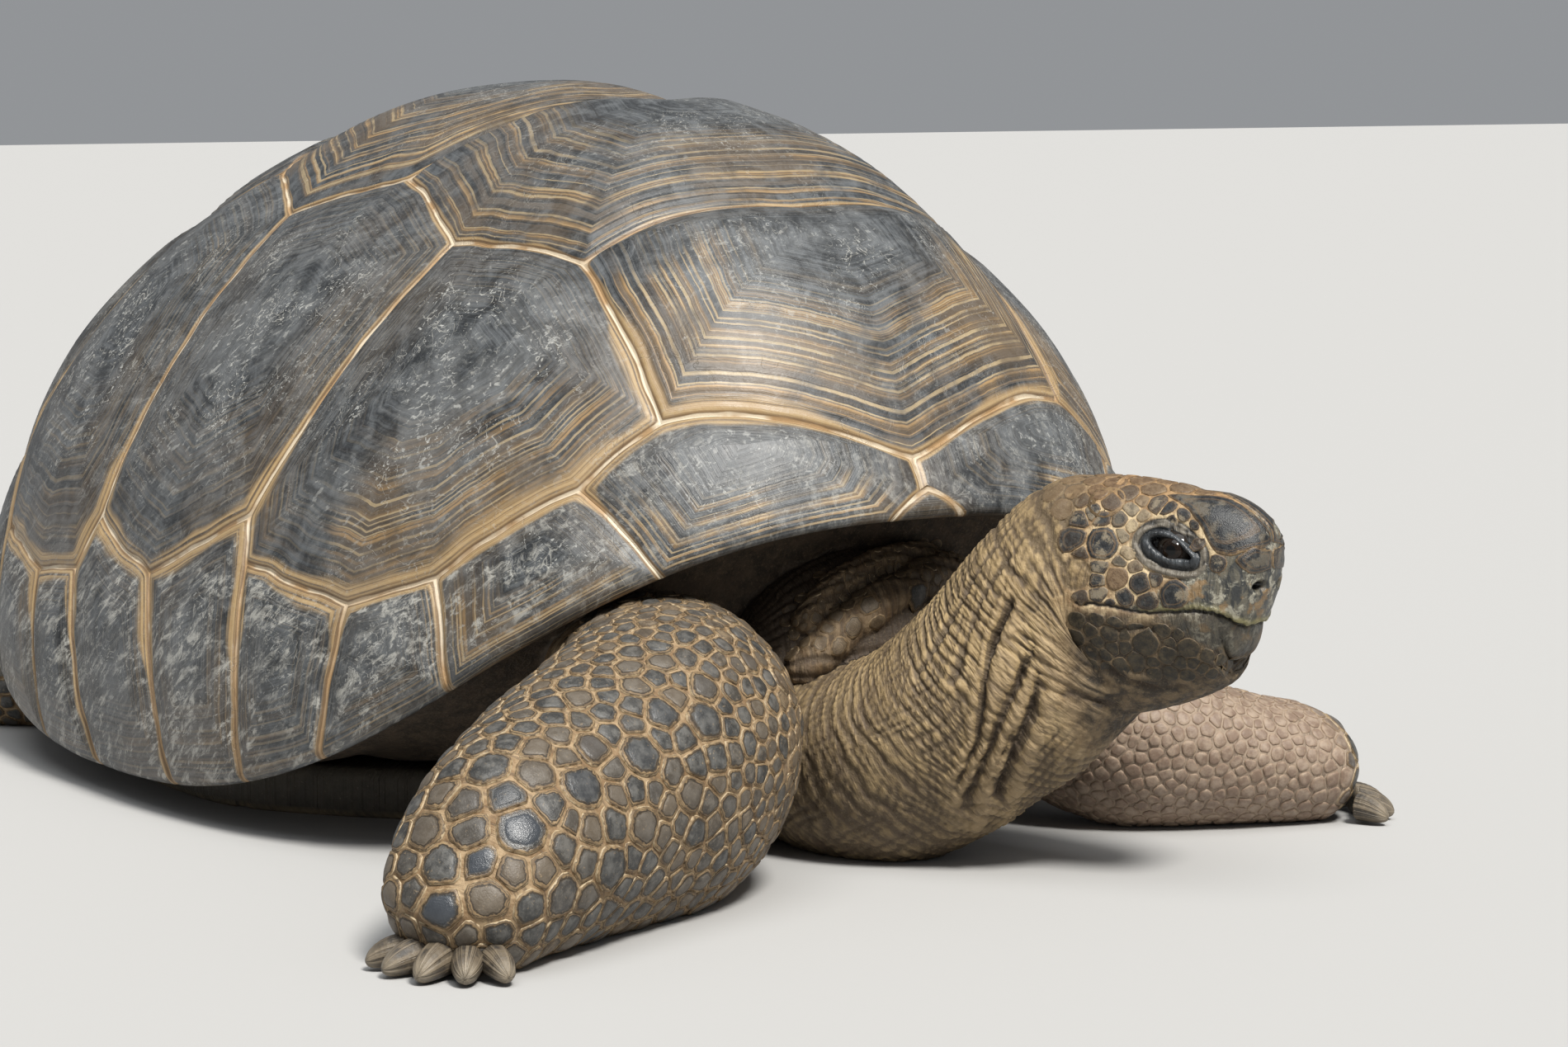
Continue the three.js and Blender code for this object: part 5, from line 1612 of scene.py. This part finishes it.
def head_horn(name):
    """Head plates: near-black slate with worn chalky patches, brown on the crown, cream at the edges."""
    look = Look(name)
    reach, seed, tone, gloss, jaw, fade, pale = look.values(
        "reach", "seed", "tone", "gloss", "jaw", "fade", "pale")
    broad, middle, fine = look.noise(0.014, 3, 0.6), look.noise(0.004, 4, 0.65), look.noise(0.0012, 3, 0.7)
    slate = middle.ramp(0.35, 0.7).mix((0.008, 0.009, 0.011), (0.036, 0.038, 0.038))
    chalky = (broad + fine * 0.3).ramp(0.66, 0.78) * (0.5 - gloss * 0.28)
    slate = chalky.mix(slate, (0.34, 0.28, 0.19))
    brown = middle.ramp(0.35, 0.65).mix((0.09, 0.052, 0.026), (0.19, 0.12, 0.06))
    look.base = (tone + middle * 0.3).ramp(0.35, 0.9).mix(brown, slate)
    rings = look.lines(reach * 7.0 + seed * 50).ramp(0.46, 0.6)
    look.paint(rings * reach.ramp(0.4, 0.8) * 0.5, (0.16, 0.1, 0.05))
    wobble = (look.noise(0.003, 2) - 0.5) * 0.25
    look.paint((reach + wobble).ramp(0.92, 1.02) * 0.6, (0.3, 0.2, 0.1))
    # The jaw's plates are near-black: their own dark horn, with painted shade under the head.
    dark_jaw_with_shade = middle.ramp(0.35, 0.7).mix((0.013, 0.011, 0.007), (0.058, 0.043, 0.022))
    edge = reach.ramp(0.85, 1.0) * broad.ramp(0.35, 0.65)
    look.paint(jaw * 0.9, edge.mix(dark_jaw_with_shade, (0.115, 0.078, 0.04)))
    look.paint(fade, middle.mix((0.1, 0.065, 0.035), (0.22, 0.155, 0.085)))
    look.paint(pale * middle.ramp(0.3, 0.55, 0.4, 0.9), (0.42, 0.33, 0.2))
    rough = middle.ramp(0.3, 0.7, 0.42, 0.6) - gloss * 0.15
    return look.finish(rough, fine + middle * 0.6, 0.0004, Specular_IOR_Level=0.4)


def eye_look(name):
    """A nearly black eye, wet and very glossy, with a dark brown iris."""
    look = Look(name)
    tilt, = look.values("tilt")
    streaks = look.noise(0.0012, 3, 0.7)
    iris = streaks.ramp(0.35, 0.65).mix((0.005, 0.003, 0.002), (0.014, 0.008, 0.005))
    look.base = tilt.ramp(0.2, 0.24).mix((0.002, 0.002, 0.002), iris)
    look.paint(tilt.ramp(0.5, 0.58), (0.02, 0.016, 0.013))
    return look.finish(0.04, IOR=1.34)


def claw_look(name):
    """Dark horn with bands along the claw, paler at its tip."""
    look = Look(name)
    share, seed, angle = look.values("share", "seed", "angle")
    middle, fine = look.noise(0.009, 3, 0.6), look.noise(0.0015, 3, 0.7)
    look.base = middle.ramp(0.35, 0.65).mix((0.035, 0.029, 0.023), (0.115, 0.09, 0.06))
    bands = look.lines(angle * 2.6 + seed * 40).ramp(0.45, 0.6)
    look.paint(bands * 0.6, (0.2, 0.16, 0.11))
    look.paint(share.ramp(0.6, 1.0, 0.0, 0.5), (0.3, 0.25, 0.18))
    look.paint(fine.ramp(0.6, 0.8, 0.0, 0.4), (0.3, 0.26, 0.2))
    return look.finish(fine.ramp(0.3, 0.7, 0.4, 0.58), fine + bands, 0.0005)


def belly_look(name):
    """The plastron's horn: tan and brown below, with faint rings, and painted shade on the flanks."""
    look = Look(name)
    seam_gap, flank = look.values("seam", "flank")
    broad, middle, fine = look.noise(0.07, 3), look.noise(0.014, 4, 0.6), look.noise(0.003, 3, 0.7)
    look.base = broad.ramp(0.4, 0.65).mix((0.14, 0.115, 0.08), (0.3, 0.23, 0.14))
    look.paint(middle.ramp(0.5, 0.7, 0.0, 0.6), (0.07, 0.062, 0.05))
    rings = look.lines(seam_gap * 0.16, 3).ramp(0.45, 0.6)
    look.paint(rings * 0.4, (0.4, 0.3, 0.17))
    look.paint(seam_gap.ramp(3.5, 1.2), (0.045, 0.035, 0.025))
    # Painted shade: the plastron's sides are darkened.
    look.paint(flank, middle.mix((0.03, 0.027, 0.022), (0.1, 0.085, 0.06)))
    look.paint(fine.ramp(0.6, 0.8, 0.0, 0.4), (0.4, 0.35, 0.28))
    return look.finish(fine.ramp(0.3, 0.7, 0.55, 0.75), fine + rings, 0.0008)


# ---- putting the animal together ----------------------------------------------------------------
def make_shell():
    sides = horn("horn_sides", 15.0, 0.1, 0.8)
    spine = horn("horn_spine", 15.0, 0.05, 0.4)
    rim = horn("horn_rim", 9.0, 0.85, 0.55)
    for name, ring in MIDLINE_SCUTES.items():
        kind = "vertebral" if name.startswith("vertebral") else "marginal"
        scute(name, kind, ring.split(), spine if kind == "vertebral" else rim)
    for side, letter in (("left", "L"), ("right", "R")):
        for name, ring in SIDE_SCUTES.items():
            kind, number = name.split("_")
            corners = [c if JUNCTIONS[c][0] % 180 == 0 else c + letter for c in ring.split()]
            scute(f"{kind}_{side}_{number}", kind, corners, sides if kind == "costal" else rim)


make_shell()
skin, parts = make_skin(hide("skin"))
under = Hide(skin)
on_legs, on_head = leg_horn("leg_plates"), head_horn("head_plates")
on_claws, on_eyes = claw_look("claws"), eye_look("eye")
for name, stations in LEGS.items():
    leg_plates(name, parts[name][0], under, on_legs)
    claws(name, stations, on_claws)
shoulder_plates(*parts["shoulder"], parts["head"][0], under, on_legs)
tail_plates(parts["tail"][0], under, on_legs)
head_plates(parts["head"][0], under, on_head)
for side in (-1, 1):
    eyeball(side, on_eyes)
plastron(belly_look("belly"))


# ---- floor, light and camera --------------------------------------------------------------------
FLOOR_SIZE, FLOOR_COLOUR, FLOOR_ROUGHNESS = 40, (0.4, 0.397, 0.39), 0.8
SKY, SKY_POWER = (0.9, 0.93, 0.97), 0.32
CAMERA_FROM = np.array((3078.8, -1658.9, 608.0))   # from the middle of the shell's plan
CAMERA_AZIMUTH, CAMERA_TILT = math.radians(58.572), math.radians(6.676)
LENS, SENSOR, NEAREST_SEEN = 94.83, 36, 0.05
LAMP_DISTANCE = 3
LAMPS = [                             # name, where it comes from, its width, its power and colour
    ("overhead", (0.3, -0.2, 1), 48, 1.6, (0.97, 0.99, 1.0)),
    ("key", (0.8, -0.05, 1.1), 14, 4.6, (1.0, 0.97, 0.92)),
]


def into_scene(thing, where=(0, 0, 0), turn=None):
    """Puts a light, a camera or the floor in the scene, turned as a quaternion says."""
    thing.location = where
    if turn:
        thing.rotation_mode, thing.rotation_quaternion = "QUATERNION", turn
    bpy.context.scene.collection.objects.link(thing)
    return thing


def make_floor():
    mesh = bpy.data.meshes.new("floor")
    half = FLOOR_SIZE / 2
    corners = [(-half, -half, 0), (half, -half, 0), (half, half, 0), (-half, half, 0)]
    mesh.from_pydata(corners, [], [(0, 1, 2, 3)])
    floor = into_scene(bpy.data.objects.new("floor", mesh))
    look = Look("floor")
    look.base = FLOOR_COLOUR
    mesh.materials.append(look.finish(FLOOR_ROUGHNESS))


def make_light(name, direction, angle, power, colour):
    """A soft light from far away, as wide as that angle, so that the floor is lit evenly."""
    data = bpy.data.lights.new(name, "SUN")
    data.angle, data.energy, data.color = math.radians(angle), power, colour
    towards = Vector(direction).normalized()
    lamp = bpy.data.objects.new(name, data)
    into_scene(lamp, towards * LAMP_DISTANCE, towards.to_track_quat("Z", "Y"))


def make_camera():
    data = bpy.data.cameras.new("camera")
    data.lens, data.sensor_width, data.clip_start = LENS, SENSOR, NEAREST_SEEN
    level = math.cos(CAMERA_TILT)
    back = Vector((math.sin(CAMERA_AZIMUTH) * level, -math.cos(CAMERA_AZIMUTH) * level,
                   math.sin(CAMERA_TILT)))
    camera = bpy.data.objects.new("camera", data)
    bpy.context.scene.camera = into_scene(camera, CAMERA_FROM * MM + HOME, (-back).to_track_quat("-Z", "Y"))


def make_world():
    world = bpy.data.worlds.new("studio")
    world.use_nodes = True
    background = world.node_tree.nodes["Background"]
    background.inputs["Color"].default_value = (*SKY, 1)
    background.inputs["Strength"].default_value = SKY_POWER
    bpy.context.scene.world = world


make_floor()
make_world()
for settings in LAMPS:
    make_light(*settings)
make_camera()
bpy.context.scene.view_settings.view_transform = "Standard"
